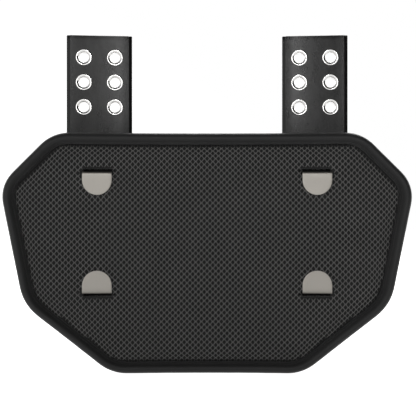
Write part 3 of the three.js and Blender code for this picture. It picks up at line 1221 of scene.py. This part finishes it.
@dataclass
class PadFace:
    """The foam cushion, swelled inside its seam and cut for the tabs.

    The border's points are (inset from the outline, depth), in millimetres.
    """

    border: tuple[tuple[float, float], ...] = (
        (8.0, -1.4), (7.8, -5.0), (7.8, -10.0), (8.2, -12.6), (9.4, -14.2), (12.0, -15.7),
        (15.0, -16.4), (19.0, -16.7),
    )
    swell: float = 1.3 * MM
    unswelled_share: float = 0.85
    seam_reach: tuple[float, float] = (12 * MM, 26 * MM)
    tab_reach: tuple[float, float] = (0.3 * MM, 10 * MM)
    front_depths: tuple[float, float] = (13 * MM, 16 * MM)
    voxel: float = 4.0 * MM
    pressure: float = 4.0
    last_frame: int = 20
    pinned_share: float = 0.02
    pinned_depth: float = -12 * MM
    slot_half: float = 12.2 * MM
    slot_reach: tuple[float, float] = (-2.6 * MM, 1.4 * MM)
    slot_length: float = 26 * MM
    slot_middle: float = -20 * MM
    face_from: float = -10 * MM
    seam_depth: float = -14.0 * MM
    surface: Optional[BVHTree] = None

    def hold(self, x: np.ndarray, z: np.ndarray) -> np.ndarray:
        """Tells how free the face is to swell.

        Args:
            x: across.
            z: up.

        Returns:
            0 where the face is sewn or pinned by a tab, up to 1 well away.
        """
        inset, _ = OUTLINE.inset_of(x, z)
        free = ease(inset, *self.seam_reach)
        for tab in TAB_PLACES:
            free = free * ease(tab.distance(x, z), *self.tab_reach)
        return free

    def make(self) -> bpy.types.Object:
        """Builds the cushion, swells it and cuts the tabs' slots.

        Returns:
            The cushion on the plate.
        """
        rings = np.stack([OUTLINE.ring(inset * MM) for inset, _ in self.border])
        depths = np.array([depth * MM for _, depth in self.border])
        along = rings.shape[1]

        def place(column: np.ndarray, row: np.ndarray) -> np.ndarray:
            """The border's points, all round the outline."""
            flat = rings[row, column % along]
            return np.column_stack([flat[:, 0], depths[row], flat[:, 1]])

        piece = wrapped_grid("pad_cushion", along, len(depths) - 1, place)
        weld(piece)
        close_ends(piece)
        pick(piece)
        piece.data.remesh_voxel_size = self.voxel
        bpy.ops.object.voxel_remesh()
        start = points_of(piece)
        free = self.hold(start[:, 0], start[:, 2]) * ease(-start[:, 1], *self.front_depths)
        rise = np.clip(start[:, 1] - self.swollen(piece, start)[:, 1], 0, self.swell)
        points = start.copy()
        points[:, 1] -= rise * free
        set_points(piece, points)
        with_modifier(piece, "SMOOTH", factor=0.5, iterations=4, use_x=False, use_z=False)
        with_modifier(piece, "SUBSURF", levels=1, render_levels=1)
        smooth(piece)
        self.surface = BVHTree.FromObject(piece, bpy.context.evaluated_depsgraph_get())
        set_points(piece, on_plate(*points_of(piece).T))
        for tab in TAB_PLACES:
            self.cut_slot(piece, tab)
        dress(piece, FINISHES.backing)
        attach(piece, "plate")
        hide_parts("foam_core")
        return piece

    def swollen(self, piece: bpy.types.Object, start: np.ndarray) -> np.ndarray:
        """Lets the foam press its cloth out, held at the seam, the back and the tabs.

        Args:
            piece: the cushion.
            start: its vertices before.

        Returns:
            Its vertices after.
        """
        trial = copy_of(piece, "cushion_trial")
        held = trial.vertex_groups.new(name="held")
        free = self.hold(start[:, 0], start[:, 2])
        for index, (share, depth) in enumerate(zip(free, start[:, 1], strict=True)):
            if share < self.pinned_share or depth > self.pinned_depth:
                held.add([index], 1.0, "REPLACE")
        cloth = pick(trial).modifiers.new("swell", "CLOTH")
        settings = cloth.settings
        settings.quality = 5
        settings.mass = 0.2
        settings.tension_stiffness = settings.compression_stiffness = 15
        settings.bending_stiffness = 0.8
        settings.use_pressure = True
        settings.uniform_pressure_force = self.pressure
        settings.vertex_group_mass = "held"
        settings.effector_weights.gravity = 0
        cloth.collision_settings.use_collision = False
        cloth.point_cache.frame_start, cloth.point_cache.frame_end = 1, self.last_frame
        scene = bpy.context.scene
        for number in range(1, self.last_frame + 1):
            scene.frame_set(number)
        bpy.ops.object.modifier_apply(modifier=cloth.name)
        result = points_of(trial)
        scene.frame_set(1)
        discard(trial)
        LOG.info("cushion swelled by up to %.2f mm", (start[:, 1] - result[:, 1]).max() / MM)
        return result

    def cut_slot(self, piece: bpy.types.Object, tab: TabPlace) -> None:
        """Cuts the slot that a tab's metal comes out of.

        Args:
            piece: the cushion.
            tab: the tab's place.
        """
        clear_selection()
        bpy.ops.mesh.primitive_cube_add(size=1.0)
        cutter = bpy.context.object
        near, far = self.slot_reach
        cutter.scale = (2 * self.slot_half, self.slot_length, far - near)
        bpy.ops.object.transform_apply(location=False, rotation=False, scale=True)
        middle = tab.edge - tab.level.value * (near + far) / 2
        FlatFrame(tab.side).settle(cutter, out=self.slot_middle, up=middle)
        with_modifier(piece, "BOOLEAN", operation="DIFFERENCE", solver="EXACT", object=cutter)
        discard(cutter)

    def depth_at(self, x: float, z: float) -> float:
        """The depth of the cushion's face at a point, before the bow, or the seam's past it."""
        hit = self.surface.ray_cast(Vector((x, PROBE_START, z)), Vector((0, 1, 0)))[0]
        return hit.y if hit is not None and hit.y < self.face_from else self.seam_depth


@dataclass
class MeshCover:
    """The open mesh fabric over the cushion: a lattice of slanting ribs round small ovals."""

    width: float = 4.39 * MM
    height: float = 4.55 * MM
    hole_half: tuple[float, float] = (1.40 * MM, 1.86 * MM)
    hole_diagonal: tuple[float, float] = (0.81 * MM, 1.07 * MM)
    shoulder_depth: float = 0.34 * MM
    thickness: float = 0.95 * MM
    last_inset: float = 7.3 * MM
    columns: int = 72
    rows: int = 42
    slot_overlap: tuple[float, float] = (0.7 * MM, 0.2 * MM)
    drawn_zone: tuple[float, float] = (7 * MM, 20 * MM)
    drawn_in: float = 1.7 * MM
    tab_zone: tuple[float, float] = (0.6 * MM, 5 * MM)
    tab_pull: float = 0.5 * MM
    slot_zone: float = 2.2 * MM
    slot_sink: float = 0.8 * MM
    clearance: float = 0.05 * MM

    def cell(self) -> bpy.types.Object:
        """Builds one opening with its half ribs, from the ridge down to the back.

        Returns:
            The flat cell.
        """
        half = np.array([self.width / 2, self.height / 2])
        hole, diagonal = self.hole_half, self.hole_diagonal
        turns = [(1, 0), (1, 1), (0, 1), (-1, 1), (-1, 0), (-1, -1), (0, -1), (1, -1)]
        ridge = [half * t if 0 in t else half * t / 2 for t in map(np.array, turns)]
        opening = [
            np.array(hole) * t if 0 in t else np.array(diagonal) * t
            for t in map(np.array, turns)
        ]
        levels = [
            (ridge, 0.0), (opening, self.shoulder_depth), (opening, self.thickness),
            (ridge, self.thickness),
        ]

        def place(column: np.ndarray, row: np.ndarray) -> np.ndarray:
            """The opening's four levels, each with a point for every turn."""
            pairs = zip(column, row, strict=True)
            flat = np.array([levels[r][0][c % len(turns)] for c, r in pairs])
            deep = np.array([levels[r][1] for r in row])
            return np.column_stack([flat[:, 0], deep, flat[:, 1]])

        piece = wrapped_grid("mesh_cell", len(turns), len(levels) - 1, place)
        weld(piece, outward=False)
        return piece

    def make(self, face: PadFace) -> bpy.types.Object:
        """Knits the cover and lays it on the cushion.

        Args:
            face: the cushion's face.

        Returns:
            The cover on the plate.
        """
        piece = self.cell()
        twin = copy_of(piece, "mesh_cell_between")
        twin.data.transform(Matrix.Translation((self.width / 2, 0, self.height / 2)))
        pick(piece)
        twin.select_set(True)
        bpy.ops.object.join()
        piece.name = piece.data.name = "mesh_cover"
        for count, step in ((self.columns, (self.width, 0, 0)), (self.rows, (0, 0, self.height))):
            with_modifier(
                piece, "ARRAY", count=count, use_relative_offset=False,
                use_constant_offset=True, constant_offset_displace=step,
            )
        middle_z = (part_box("mesh_face")[0].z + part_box("mesh_face")[1].z) / 2
        left = -round(self.columns / 2) * self.width
        low = middle_z - self.rows / 2 * self.height
        piece.data.transform(Matrix.Translation((left, 0, low)))
        weld(piece, outward=False)
        self.trim(piece, face, left, low)
        self.close_border(piece)
        # each point's depth down its opening, which the mesh yarn's painted shade reads
        store(piece, "mesh_depth", points_of(piece)[:, 1] / self.thickness)
        self.lay(piece, face)
        weld(piece)
        smooth(piece)
        dress(piece, FINISHES.mesh)
        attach(piece, "plate")
        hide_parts("mesh_face")
        return piece

    def trim(self, piece: bpy.types.Object, face: PadFace, left: float, low: float) -> None:
        """Cuts away whole openings past the seam and over the tabs' slots.

        Args:
            piece: the flat cover.
            face: the cushion's face.
            left: where the first opening's middle is, across.
            low: the same, up.
        """
        count = len(piece.data.polygons)
        middles = np.zeros(count * 3)
        piece.data.polygons.foreach_get("center", middles)
        middles = middles.reshape(-1, 3)
        across = (middles[:, 0] - left) / self.width
        up = (middles[:, 2] - low) / self.height
        rising, falling = np.floor(across + up + 0.5), np.floor(across - up + 0.5)
        x = left + (rising + falling) / 2 * self.width
        z = low + (rising - falling) / 2 * self.height
        inset, _ = OUTLINE.inset_of(x, z)
        cut = (inset < self.last_inset) | ~self.is_inside(x, z)
        near, far = face.slot_reach
        beside, behind = self.slot_overlap
        for tab in TAB_PLACES:
            along = tab.beyond_edge(z)
            in_slot = (along > near + behind) & (along < far)
            cut |= in_slot & (np.abs(x - tab.centre_x) < face.slot_half - beside)
        pick(piece)
        bpy.ops.object.mode_set(mode="EDIT")
        bpy.ops.mesh.select_mode(type="FACE")
        bpy.ops.object.mode_set(mode="OBJECT")
        piece.data.polygons.foreach_set("select", cut)
        bpy.ops.object.mode_set(mode="EDIT")
        bpy.ops.mesh.delete(type="FACE")
        bpy.ops.mesh.select_mode(type="VERT")
        bpy.ops.object.mode_set(mode="OBJECT")

    @staticmethod
    def is_inside(x: np.ndarray, z: np.ndarray) -> np.ndarray:
        """Tells which points are inside the pad's outline.

        Args:
            x: across.
            z: up.

        Returns:
            True for each point that is inside.
        """
        ring = OUTLINE.ring(0.0)
        inside = np.ones(len(x), bool)
        middle = ring.mean(axis=0)
        for a, b in zip(ring, np.roll(ring, -1, axis=0), strict=True):
            way = b - a
            side = way[0] * (z - a[1]) - way[1] * (x - a[0])
            own = way[0] * (middle[1] - a[1]) - way[1] * (middle[0] - a[0])
            inside &= side * own >= 0
        return inside

    def close_border(self, piece: bpy.types.Object) -> None:
        """Brings the ridge down to the back all round each open border, and joins the two.

        Args:
            piece: the flat cover.
        """
        pick(piece)
        bpy.ops.object.mode_set(mode="EDIT")
        bpy.ops.mesh.select_mode(type="VERT")
        bpy.ops.mesh.select_all(action="DESELECT")
        bpy.ops.mesh.select_non_manifold(
            extend=False, use_wire=False, use_boundary=True, use_multi_face=False,
            use_non_contiguous=False, use_verts=False,
        )
        bpy.ops.object.mode_set(mode="OBJECT")
        chosen = np.zeros(len(piece.data.vertices), bool)
        piece.data.vertices.foreach_get("select", chosen)
        points = points_of(piece)
        points[chosen, 1] = self.thickness
        set_points(piece, points)
        weld(piece, outward=False)

    def lay(self, piece: bpy.types.Object, face: PadFace) -> None:
        """Drapes the flat cover over the cushion's face and puts in the plate's bow.

        Args:
            piece: the flat cover.
            face: the cushion's face.
        """
        points = points_of(piece)
        inset, outwards = OUTLINE.inset_of(points[:, 0], points[:, 2])
        near_seam, off_seam = self.drawn_zone
        drawn = ease(-inset, -off_seam, -near_seam) * self.drawn_in
        points[:, [0, 2]] -= outwards * drawn[:, None]
        for tab in TAB_PLACES:
            away = tab.distance(points[:, 0], points[:, 2])
            near_tab, off_tab = self.tab_zone
            pull = ease(-away, -off_tab, 0) * ease(away, 0, near_tab) * self.tab_pull
            centre = tab.edge - tab.level.value * tab.length / 2
            way = np.column_stack([points[:, 0] - tab.centre_x, points[:, 2] - centre])
            reach = np.maximum(np.linalg.norm(way, axis=1), 1e-6)
            points[:, [0, 2]] -= way / reach[:, None] * pull[:, None]
        base = np.array([face.depth_at(x, z) for x, z in points[:, [0, 2]]])
        sink = np.zeros(len(points))
        near, far = face.slot_reach
        for tab in TAB_PLACES:
            along = tab.beyond_edge(points[:, 2])
            across = np.maximum(np.abs(points[:, 0] - tab.centre_x) - face.slot_half, 0)
            gap = np.hypot(across, np.maximum(near - along, 0) + np.maximum(along - far, 0))
            sink = np.maximum(sink, (1 - ease(gap, 0, self.slot_zone)) * self.slot_sink)
        rise = self.thickness + self.clearance - points[:, 1]
        set_points(piece, on_plate(points[:, 0], base - rise + sink, points[:, 2]))


@dataclass
class PunchedStrap:
    """One strap with near-black edges, partly edge paint and partly painted shade, running down
    behind the foam to its anchor.

    The half section's points are (across, outwards), and its other sizes are in millimetres too,
    but for the spread.
    """

    side: Side
    spread: float = 0.2 * MM
    eyelet_across: float = 12.05
    eyelet_rows: tuple[float, ...] = (17.3, 36.6, 55.9)
    hole_radius: float = 4.35
    front: float = -4.68
    middle: float = -2.68
    back: float = -0.68
    half_section: tuple[tuple[float, float], ...] = (
        (8.0, -4.68), (16.0, -4.68), (21.6, -4.68), (22.5, -4.74), (22.95, -4.74),
        (23.2, -4.56), (23.4, -4.30), (23.9, -4.20), (24.6, -4.08), (25.1, -3.80),
        (25.36, -3.3), (25.4, -2.6), (25.3, -1.7), (25.0, -1.05), (24.4, -0.72), (22.0, -0.68),
        (11.0, -0.68),
    )
    bend_half: float = 12.0
    bend_margin: float = 2.0
    anchor_step: float = 8.0
    bend_step: float = 1.5
    free_step: float = 5.0
    free_margin: float = 3.0
    top_levels: tuple[float, ...] = (0.9, 0.3, 0.0)
    top_shrink: tuple[float, ...] = (0.0, 0.12, 0.6)
    paint_across: tuple[float, float] = (23.0, 23.3)
    paint_top: tuple[float, float] = (0.8, 0.2)
    punch_length: float = 12.0
    crease: float = 38.0

    @property
    def body(self) -> str:
        """The name of the strap's moving body."""
        return f"{self.side.label}_strap_body"

    def centres(self) -> list[tuple[float, float]]:
        """Lists the eyelets' places in the strap's frame.

        Returns:
            Across and up, in metres, row by row from the top.
        """
        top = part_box(f"{self.side.label}_strap")[1].z
        return [
            (across * MM, top - drop * MM)
            for drop in self.eyelet_rows
            for across in (-self.eyelet_across, self.eyelet_across)
        ]

    def make(self) -> bpy.types.Object:
        """Builds the strap and punches it.

        Returns:
            The strap in its place.
        """
        right = list(self.half_section)
        left = [(-across, out) for across, out in reversed(right)]
        loop = np.array([(0.0, self.front), *right, (0.0, self.back), *left]) * MM
        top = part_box(f"{self.side.label}_strap")[1].z
        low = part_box(f"{self.side.label}_strap_anchor")[0].z
        hinge = next(j for j in frame["joints"] if j["name"] == f"{self.side.label}_strap_flex")
        levels = self.levels(low, hinge["pos_m"][2], top)
        shrink = np.zeros(len(levels))
        shrink[-len(self.top_shrink) :] = np.array(self.top_shrink) * MM

        def place(column: np.ndarray, row: np.ndarray) -> np.ndarray:
            """The section's points at each level, drawn in at the rounded top."""
            across, out = loop[column % len(loop)].T
            across = across - np.sign(across) * np.minimum(np.abs(across), shrink[row])
            out = out - np.sign(out - self.middle * MM) * shrink[row]
            return np.column_stack([across, out, levels[row]])

        piece = wrapped_grid(f"{self.side.label}_strap_leather", len(loop), len(levels) - 1, place)
        weld(piece)
        close_ends(piece)
        self.punch(piece)
        points = points_of(piece)
        # the near-black band along the sides and the top end: partly edge paint, partly painted
        # shade
        sides = ease(np.abs(points[:, 0]), *(across * MM for across in self.paint_across))
        end = ease(points[:, 2], *(top - down * MM for down in self.paint_top))
        store(piece, "edge_band", np.maximum(sides, end))
        smooth(piece, self.crease)
        dress(piece, FINISHES.strap)
        FlatFrame(self.side).settle(piece, across=self.side.value * self.spread)
        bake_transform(piece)
        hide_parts(f"{self.side.label}_strap", f"{self.side.label}_strap_anchor")
        return piece

    def levels(self, low: float, bend: float, top: float) -> np.ndarray:
        """The heights of the strap's rows of points, close together where it bends.

        Args:
            low: the anchor's lower end.
            bend: the hinge's height.
            top: the strap's upper end.

        Returns:
            The heights, from the lowest up.
        """
        half, past = self.bend_half * MM, (self.bend_half + self.bend_margin) * MM
        return np.concatenate(
            [
                np.arange(low, bend - past, self.anchor_step * MM),
                np.arange(bend - half, bend + half, self.bend_step * MM),
                np.arange(bend + past, top - self.free_margin * MM, self.free_step * MM),
                [top - down * MM for down in self.top_levels],
            ]
        )

    def punch(self, piece: bpy.types.Object) -> None:
        """Cuts the eyelets' holes through the strap.

        Args:
            piece: the strap, still about its frame's origin.
        """
        clear_selection()
        cutters = []
        for across, up in self.centres():
            bpy.ops.mesh.primitive_cylinder_add(
                vertices=32, radius=self.hole_radius * MM, depth=self.punch_length * MM,
                location=(across, self.middle * MM, up), rotation=(math.pi / 2, 0, 0),
            )
            cutters.append(bpy.context.object)
        clear_selection()
        for cutter in cutters:
            cutter.select_set(True)
        bpy.context.view_layer.objects.active = cutters[0]
        bpy.ops.object.join()
        cutter = bpy.context.object
        with_modifier(piece, "BOOLEAN", operation="DIFFERENCE", solver="EXACT", object=cutter)
        discard(cutter)


@dataclass
class EyeletSet:
    """The nickel eyelets of a strap, each with its washer at the back.

    The profiles' points are (radius, outwards), in millimetres.
    """

    strap: PunchedStrap
    flange: tuple[tuple[float, float], ...] = (
        (4.35, -4.50), (5.9, -4.46), (6.26, -4.60), (6.40, -4.92), (6.36, -5.26), (6.20, -5.54),
        (5.98, -5.72), (5.72, -5.79), (5.44, -5.78), (5.20, -5.69), (4.80, -5.48), (4.40, -5.25),
        (4.12, -5.02), (3.90, -4.62), (3.80, -4.0), (3.80, -0.4), (3.86, 0.1), (4.05, 0.40),
        (4.22, 0.48), (4.35, 0.30), (4.38, -0.2),
    )
    washer: tuple[tuple[float, float], ...] = (
        (4.45, -0.28), (6.2, -0.28), (6.38, -0.12), (6.40, 0.15), (6.25, 0.38), (5.9, 0.5),
        (4.95, 0.5), (4.6, 0.44), (4.45, 0.25),
    )
    steps: int = 56

    def make(self) -> list[bpy.types.Object]:
        """Turns one eyelet and one washer, and places their copies.

        Returns:
            All twelve pieces.
        """
        made = []
        home = FlatFrame(self.strap.side)
        spread = self.strap.side.value * self.strap.spread
        for kind, profile in (("eyelet", self.flange), ("eyelet_washer", self.washer)):
            pattern = turned(f"{kind}_pattern", profile, self.steps)
            for number, (across, up) in enumerate(self.strap.centres(), start=1):
                node = f"{self.strap.side.label}_{kind}_{number}"
                piece = home.settle(
                    copy_of(pattern, f"{node}_nickel"), across=across + spread, up=up
                )
                dress(piece, FINISHES.nickel)
                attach(piece, self.strap.body)
                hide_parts(node)
                made.append(piece)
            discard(pattern)
        return made


@dataclass
class SprungTab:
    """One bent metal clip: base behind the foam, riser through it, and a rounded tab in front.

    Its sizes are in millimetres.
    """

    place: TabPlace
    thickness: float = 1.2
    rim: float = 0.42
    columns: int = 16
    base_out: float = -5.58
    tab_out: float = -18.715
    base_along: tuple[float, ...] = (-13.4, -9.0, -5.0, -2.0)
    riser_out: tuple[float, ...] = (-10.0, -14.0)
    base_bend: float = 1.6
    tab_bend: float = 1.3
    bend_steps: int = 4
    tip_steps: int = 10
    sharp_angle: float = 50.0
    crease: float = 35.0

    @property
    def body(self) -> str:
        """The name of the tab's moving body."""
        return f"{self.place.key}_tab"

    def stations(self) -> list[tuple[float, float, float]]:
        """Follows the strip's middle line from the base's end to the tip.

        Returns:
            At each station, its places outwards and along, and half its width.
        """
        half, reach = self.place.half_width / MM, self.thickness / 2
        straight = self.place.length / MM - half
        bend = [math.pi / 2 * step / self.bend_steps for step in range(self.bend_steps + 1)]
        tip = [math.pi / 2 * step / self.tip_steps for step in range(self.tip_steps + 1)]
        line = [(self.base_out, along, half) for along in self.base_along]
        for angle in bend:
            out = self.base_out - self.base_bend * (1 - math.cos(angle))
            along = reach - self.base_bend + self.base_bend * math.sin(angle)
            line.append((out, along, half))
        line += [(out, reach, half) for out in self.riser_out]
        for angle in bend:
            out = self.tab_out + self.tab_bend * (1 - math.sin(angle))
            along = reach + self.tab_bend * (1 - math.cos(angle))
            line.append((out, along, half))
        line.append((self.tab_out, straight / 2 + 1, half))
        for angle in tip:
            along = straight + half * math.sin(angle)
            line.append((self.tab_out, along, half * math.cos(angle)))
        return line

    def make(self) -> bpy.types.Object:
        """Builds the bent clip.

        Returns:
            The clip in its place.
        """
        line = np.array(self.stations())
        tab, flip = self.place, self.place.level.value

        def place(column: np.ndarray, row: np.ndarray) -> np.ndarray:
            """The strip's width at each station."""
            out, along, half = line[row].T
            share = column / self.columns * 2 - 1
            return np.column_stack([share * half * MM, out * MM, tab.edge - flip * along * MM])

        piece = wrapped_grid(f"{tab.key}_spring_clip", self.columns, len(line) - 1, place)
        weld(piece)
        with_modifier(piece, "SOLIDIFY", thickness=self.thickness * MM, offset=0.0)
        with_modifier(
            piece, "BEVEL", width=self.rim * MM, segments=2, limit_method="ANGLE",
            angle_limit=math.radians(self.sharp_angle),
        )
        weld(piece)
        smooth(piece, self.crease)
        dress(piece, FINISHES.satin)
        home = FlatFrame(tab.side)
        shift = (home.matrix().inverted() @ self.middle()).x
        home.settle(piece, across=shift)
        edge = self.middle()
        edge.z = tab.edge
        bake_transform(piece)
        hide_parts(f"{tab.key}_clip", f"{tab.key}_tongue")
        return piece

    def middle(self) -> Vector:
        """The middle of the tab in front of the pad."""
        low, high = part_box(f"{self.place.key}_tongue")
        return (low + high) / 2


@dataclass
class Rivets:
    """The domed rivets that hold the clips to the shell.

    The profile's points are (radius, outwards), in millimetres.
    """

    profile: tuple[tuple[float, float], ...] = (
        (0.0, 5.12), (1.4, 5.06), (2.8, 4.84), (4.1, 4.42), (5.0, 3.88), (5.42, 3.45),
        (5.38, 3.28), (5.0, 3.24), (2.4, 3.24), (2.4, -7.4), (3.9, -7.4), (4.15, -7.7),
        (3.7, -8.4), (2.4, -8.85), (0.0, -8.96),
    )
    steps: int = 36

    def make(self) -> list[bpy.types.Object]:
        """Turns one rivet and places its copies. Their washers get the same finish.

        Returns:
            The four rivets.
        """
        pattern = turned("rivet_pattern", self.profile, self.steps)
        made = []
        for tab in TAB_PLACES:
            low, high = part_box(f"{tab.key}_rivet_washer")
            home = FlatFrame(tab.side)
            local = home.matrix().inverted() @ ((low + high) / 2)
            piece = home.settle(
                copy_of(pattern, f"{tab.key}_domed_rivet"), across=local.x, up=local.z
            )
            dress(piece, FINISHES.rivet)
            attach(piece, "plate")
            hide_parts(f"{tab.key}_rivet")
            made.append(piece)
            dress(frame["nodes"][f"{tab.key}_rivet_washer"], FINISHES.rivet)
        discard(pattern)
        return made


@dataclass
class MouldedShell:
    """The hard outer shell, with its moulded edges softened."""

    edge_radius: float = 0.7 * MM
    flat_angle: float = 0.6
    sharp_angle: float = 40.0
    crease: float = 30.0

    def make(self) -> bpy.types.Object:
        """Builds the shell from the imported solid, and dresses the lining behind it.

        Returns:
            The shell.
        """
        mesh = frame["nodes"]["shell"].data.copy()
        piece = bpy.data.objects.new("moulded_outer_shell", mesh)
        bpy.context.scene.collection.objects.link(piece)
        weld(piece, outward=False)
        bpy.ops.object.mode_set(mode="EDIT")
        bpy.ops.mesh.select_all(action="SELECT")
        bpy.ops.mesh.dissolve_limited(angle_limit=math.radians(self.flat_angle))
        bpy.ops.object.mode_set(mode="OBJECT")
        with_modifier(
            piece, "BEVEL", width=self.edge_radius, segments=3, limit_method="ANGLE",
            angle_limit=math.radians(self.sharp_angle), use_clamp_overlap=True,
        )
        smooth(piece, self.crease)
        dress(piece, FINISHES.shell)
        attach(piece, "plate")
        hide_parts("shell")
        dress(frame["nodes"]["pad_lining"], FINISHES.lining)
        return piece


# ---------------------------------------------------------------- studio


@dataclass(frozen=True)
class Softbox:
    """One soft rectangular light, aimed at a point."""

    name: str
    place: tuple[float, float, float]
    aim: tuple[float, float, float]
    size: tuple[float, float]
    power: float

    def hang(self) -> None:
        """Puts the light in the scene."""
        data = bpy.data.lights.new(self.name, "AREA")
        data.shape = "RECTANGLE"
        data.size, data.size_y = self.size
        data.energy = self.power
        lamp = bpy.data.objects.new(self.name, data)
        bpy.context.scene.collection.objects.link(lamp)
        lamp.location = self.place
        way = Vector(self.aim) - Vector(self.place)
        lamp.rotation_euler = way.to_track_quat("-Z", "Y").to_euler()


@dataclass
class Studio:
    """A plain pale floor, soft light, and the camera square to the middle of the plate."""

    distance: float = 0.65
    camera_height: float = -0.0035
    lens: float = 71.2
    sensor: float = 36.0
    shift: float = 0.0021
    floor_size: float = 8.0
    floor_gap: float = 0.4 * MM
    floor_glow: float = 0.38
    softboxes: tuple[Softbox, ...] = (
        Softbox("wide_softbox", (-0.45, -2.3, -0.1), (0, 0, -0.03), (2.9, 2.0), 23.0),
        Softbox("strip_light", (0.002, -0.66, 0.325), (0.002, 0, 0.325), (0.03, 0.39), 0.55),
        Softbox("left_card", (-0.11, -0.66, 0.33), (-0.11, 0, 0.33), (0.18, 0.36), 0.20),
        Softbox("back_softbox", (0.3, 1.4, 0.8), (0, 0, 0), (1.2, 1.2), 14.0),
    )

    def make(self) -> None:
        """Sets up the camera, floor, background and lights."""
        self.camera()
        self.floor()
        self.background()
        for softbox in self.softboxes:
            softbox.hang()

    def camera(self) -> None:
        """Puts the camera in front of the body side, level and square on."""
        lens = bpy.data.cameras.new("camera")
        camera = bpy.data.objects.new("camera", lens)
        bpy.context.scene.collection.objects.link(camera)
        camera.location = (0.0, DEPTH_ZERO - self.distance, self.camera_height)
        camera.rotation_euler = (math.pi / 2, 0, 0)
        lens.lens, lens.sensor_width = self.lens, self.sensor
        lens.shift_x = self.shift
        lens.clip_start = 0.01
        bpy.context.scene.camera = camera
        bpy.context.scene.view_settings.view_transform = "Standard"

    def floor(self) -> None:
        """Lays the floor. It lights the object less than it shows."""
        clear_selection()
        height = CAD_BOX[0].z - self.floor_gap
        bpy.ops.mesh.primitive_plane_add(size=self.floor_size, location=(0, 0, height))
        floor = bpy.context.object
        floor.name = "pale_floor"
        bpy.ops.object.transform_apply(location=True)
        material = bpy.data.materials.new("pale_floor")
        material.use_nodes = True
        shader = material.node_tree.nodes["Principled BSDF"]
        shader.inputs["Base Color"].default_value = (0.9, 0.9, 0.9, 1)
        shader.inputs["Roughness"].default_value = 0.9
        shader.inputs["Specular IOR Level"].default_value = 0.0
        shader.inputs["Emission Color"].default_value = (1, 1, 1, 1)
        bench = Bench(material.node_tree)
        seen = bench.add("LightPath").outputs["Is Camera Ray"]
        glow = bench.between(seen, self.floor_glow, 1.0)
        bench.tree.links.new(glow, shader.inputs["Emission Strength"])
        floor.data.materials.append(material)

    @staticmethod
    def background() -> None:
        """Hangs a white background. It lights the object from behind and from the left.

        The light fades overhead, and a dark flag stands high on the right.
        """
        world = bpy.data.worlds.new("studio")
        bpy.context.scene.world = world
        world.use_nodes = True
        bench = Bench(world.node_tree)
        sky = world.node_tree.nodes["Background"]
        direction = bench.add("TexCoord").outputs["Generated"]
        way = bench.add("SeparateXYZ", {0: direction})
        behind = bench.ramp(way.outputs["Y"], (0.0, 0.6), (0.0, 0.85))
        left = bench.ramp(way.outputs["X"], (0.1, -0.7), (0.12, 0.80))
        overhead = bench.ramp(way.outputs["Z"], (0.1, 0.8), (1.0, 0.25))
        toward_flag = bench.add(
            "VectorMath", {0: direction, 1: (0.62, -0.62, 0.48)}, operation="DOT_PRODUCT"
        )
        past_flag = bench.ramp(toward_flag.outputs["Value"], (0.80, 0.90), (1.0, 0.05))
        glow = bench.math("MULTIPLY", bench.math("ADD", behind, left), overhead)
        glow = bench.math("MULTIPLY", glow, past_flag)
        seen = bench.add("LightPath").outputs["Is Camera Ray"]
        bench.tree.links.new(bench.math("MAXIMUM", glow, seen), sky.inputs["Strength"])
        sky.inputs["Color"].default_value = (1, 1, 1, 1)


def main() -> None:
    """Builds the studio and every piece."""
    logging.basicConfig(level=logging.INFO, format="%(name)s: %(message)s")
    Studio().make()
    LOG.info("studio ready")
    roll = EdgeRoll()
    LOG.info("built %s", roll.make().name)
    face = PadFace()
    LOG.info("built %s", face.make().name)
    LOG.info("built %s", MeshCover().make(face).name)
    LOG.info("built %s", roll.stitch().name)
    for side in Side:
        strap = PunchedStrap(side)
        LOG.info("built %s", strap.make().name)
        LOG.info("built %d eyelets and washers", len(EyeletSet(strap).make()))
    for place in TAB_PLACES:
        LOG.info("built %s", SprungTab(place).make().name)
    LOG.info("built %d rivets", len(Rivets().make()))
    LOG.info("built %s", MouldedShell().make().name)


if __name__ == "__main__":
    main()
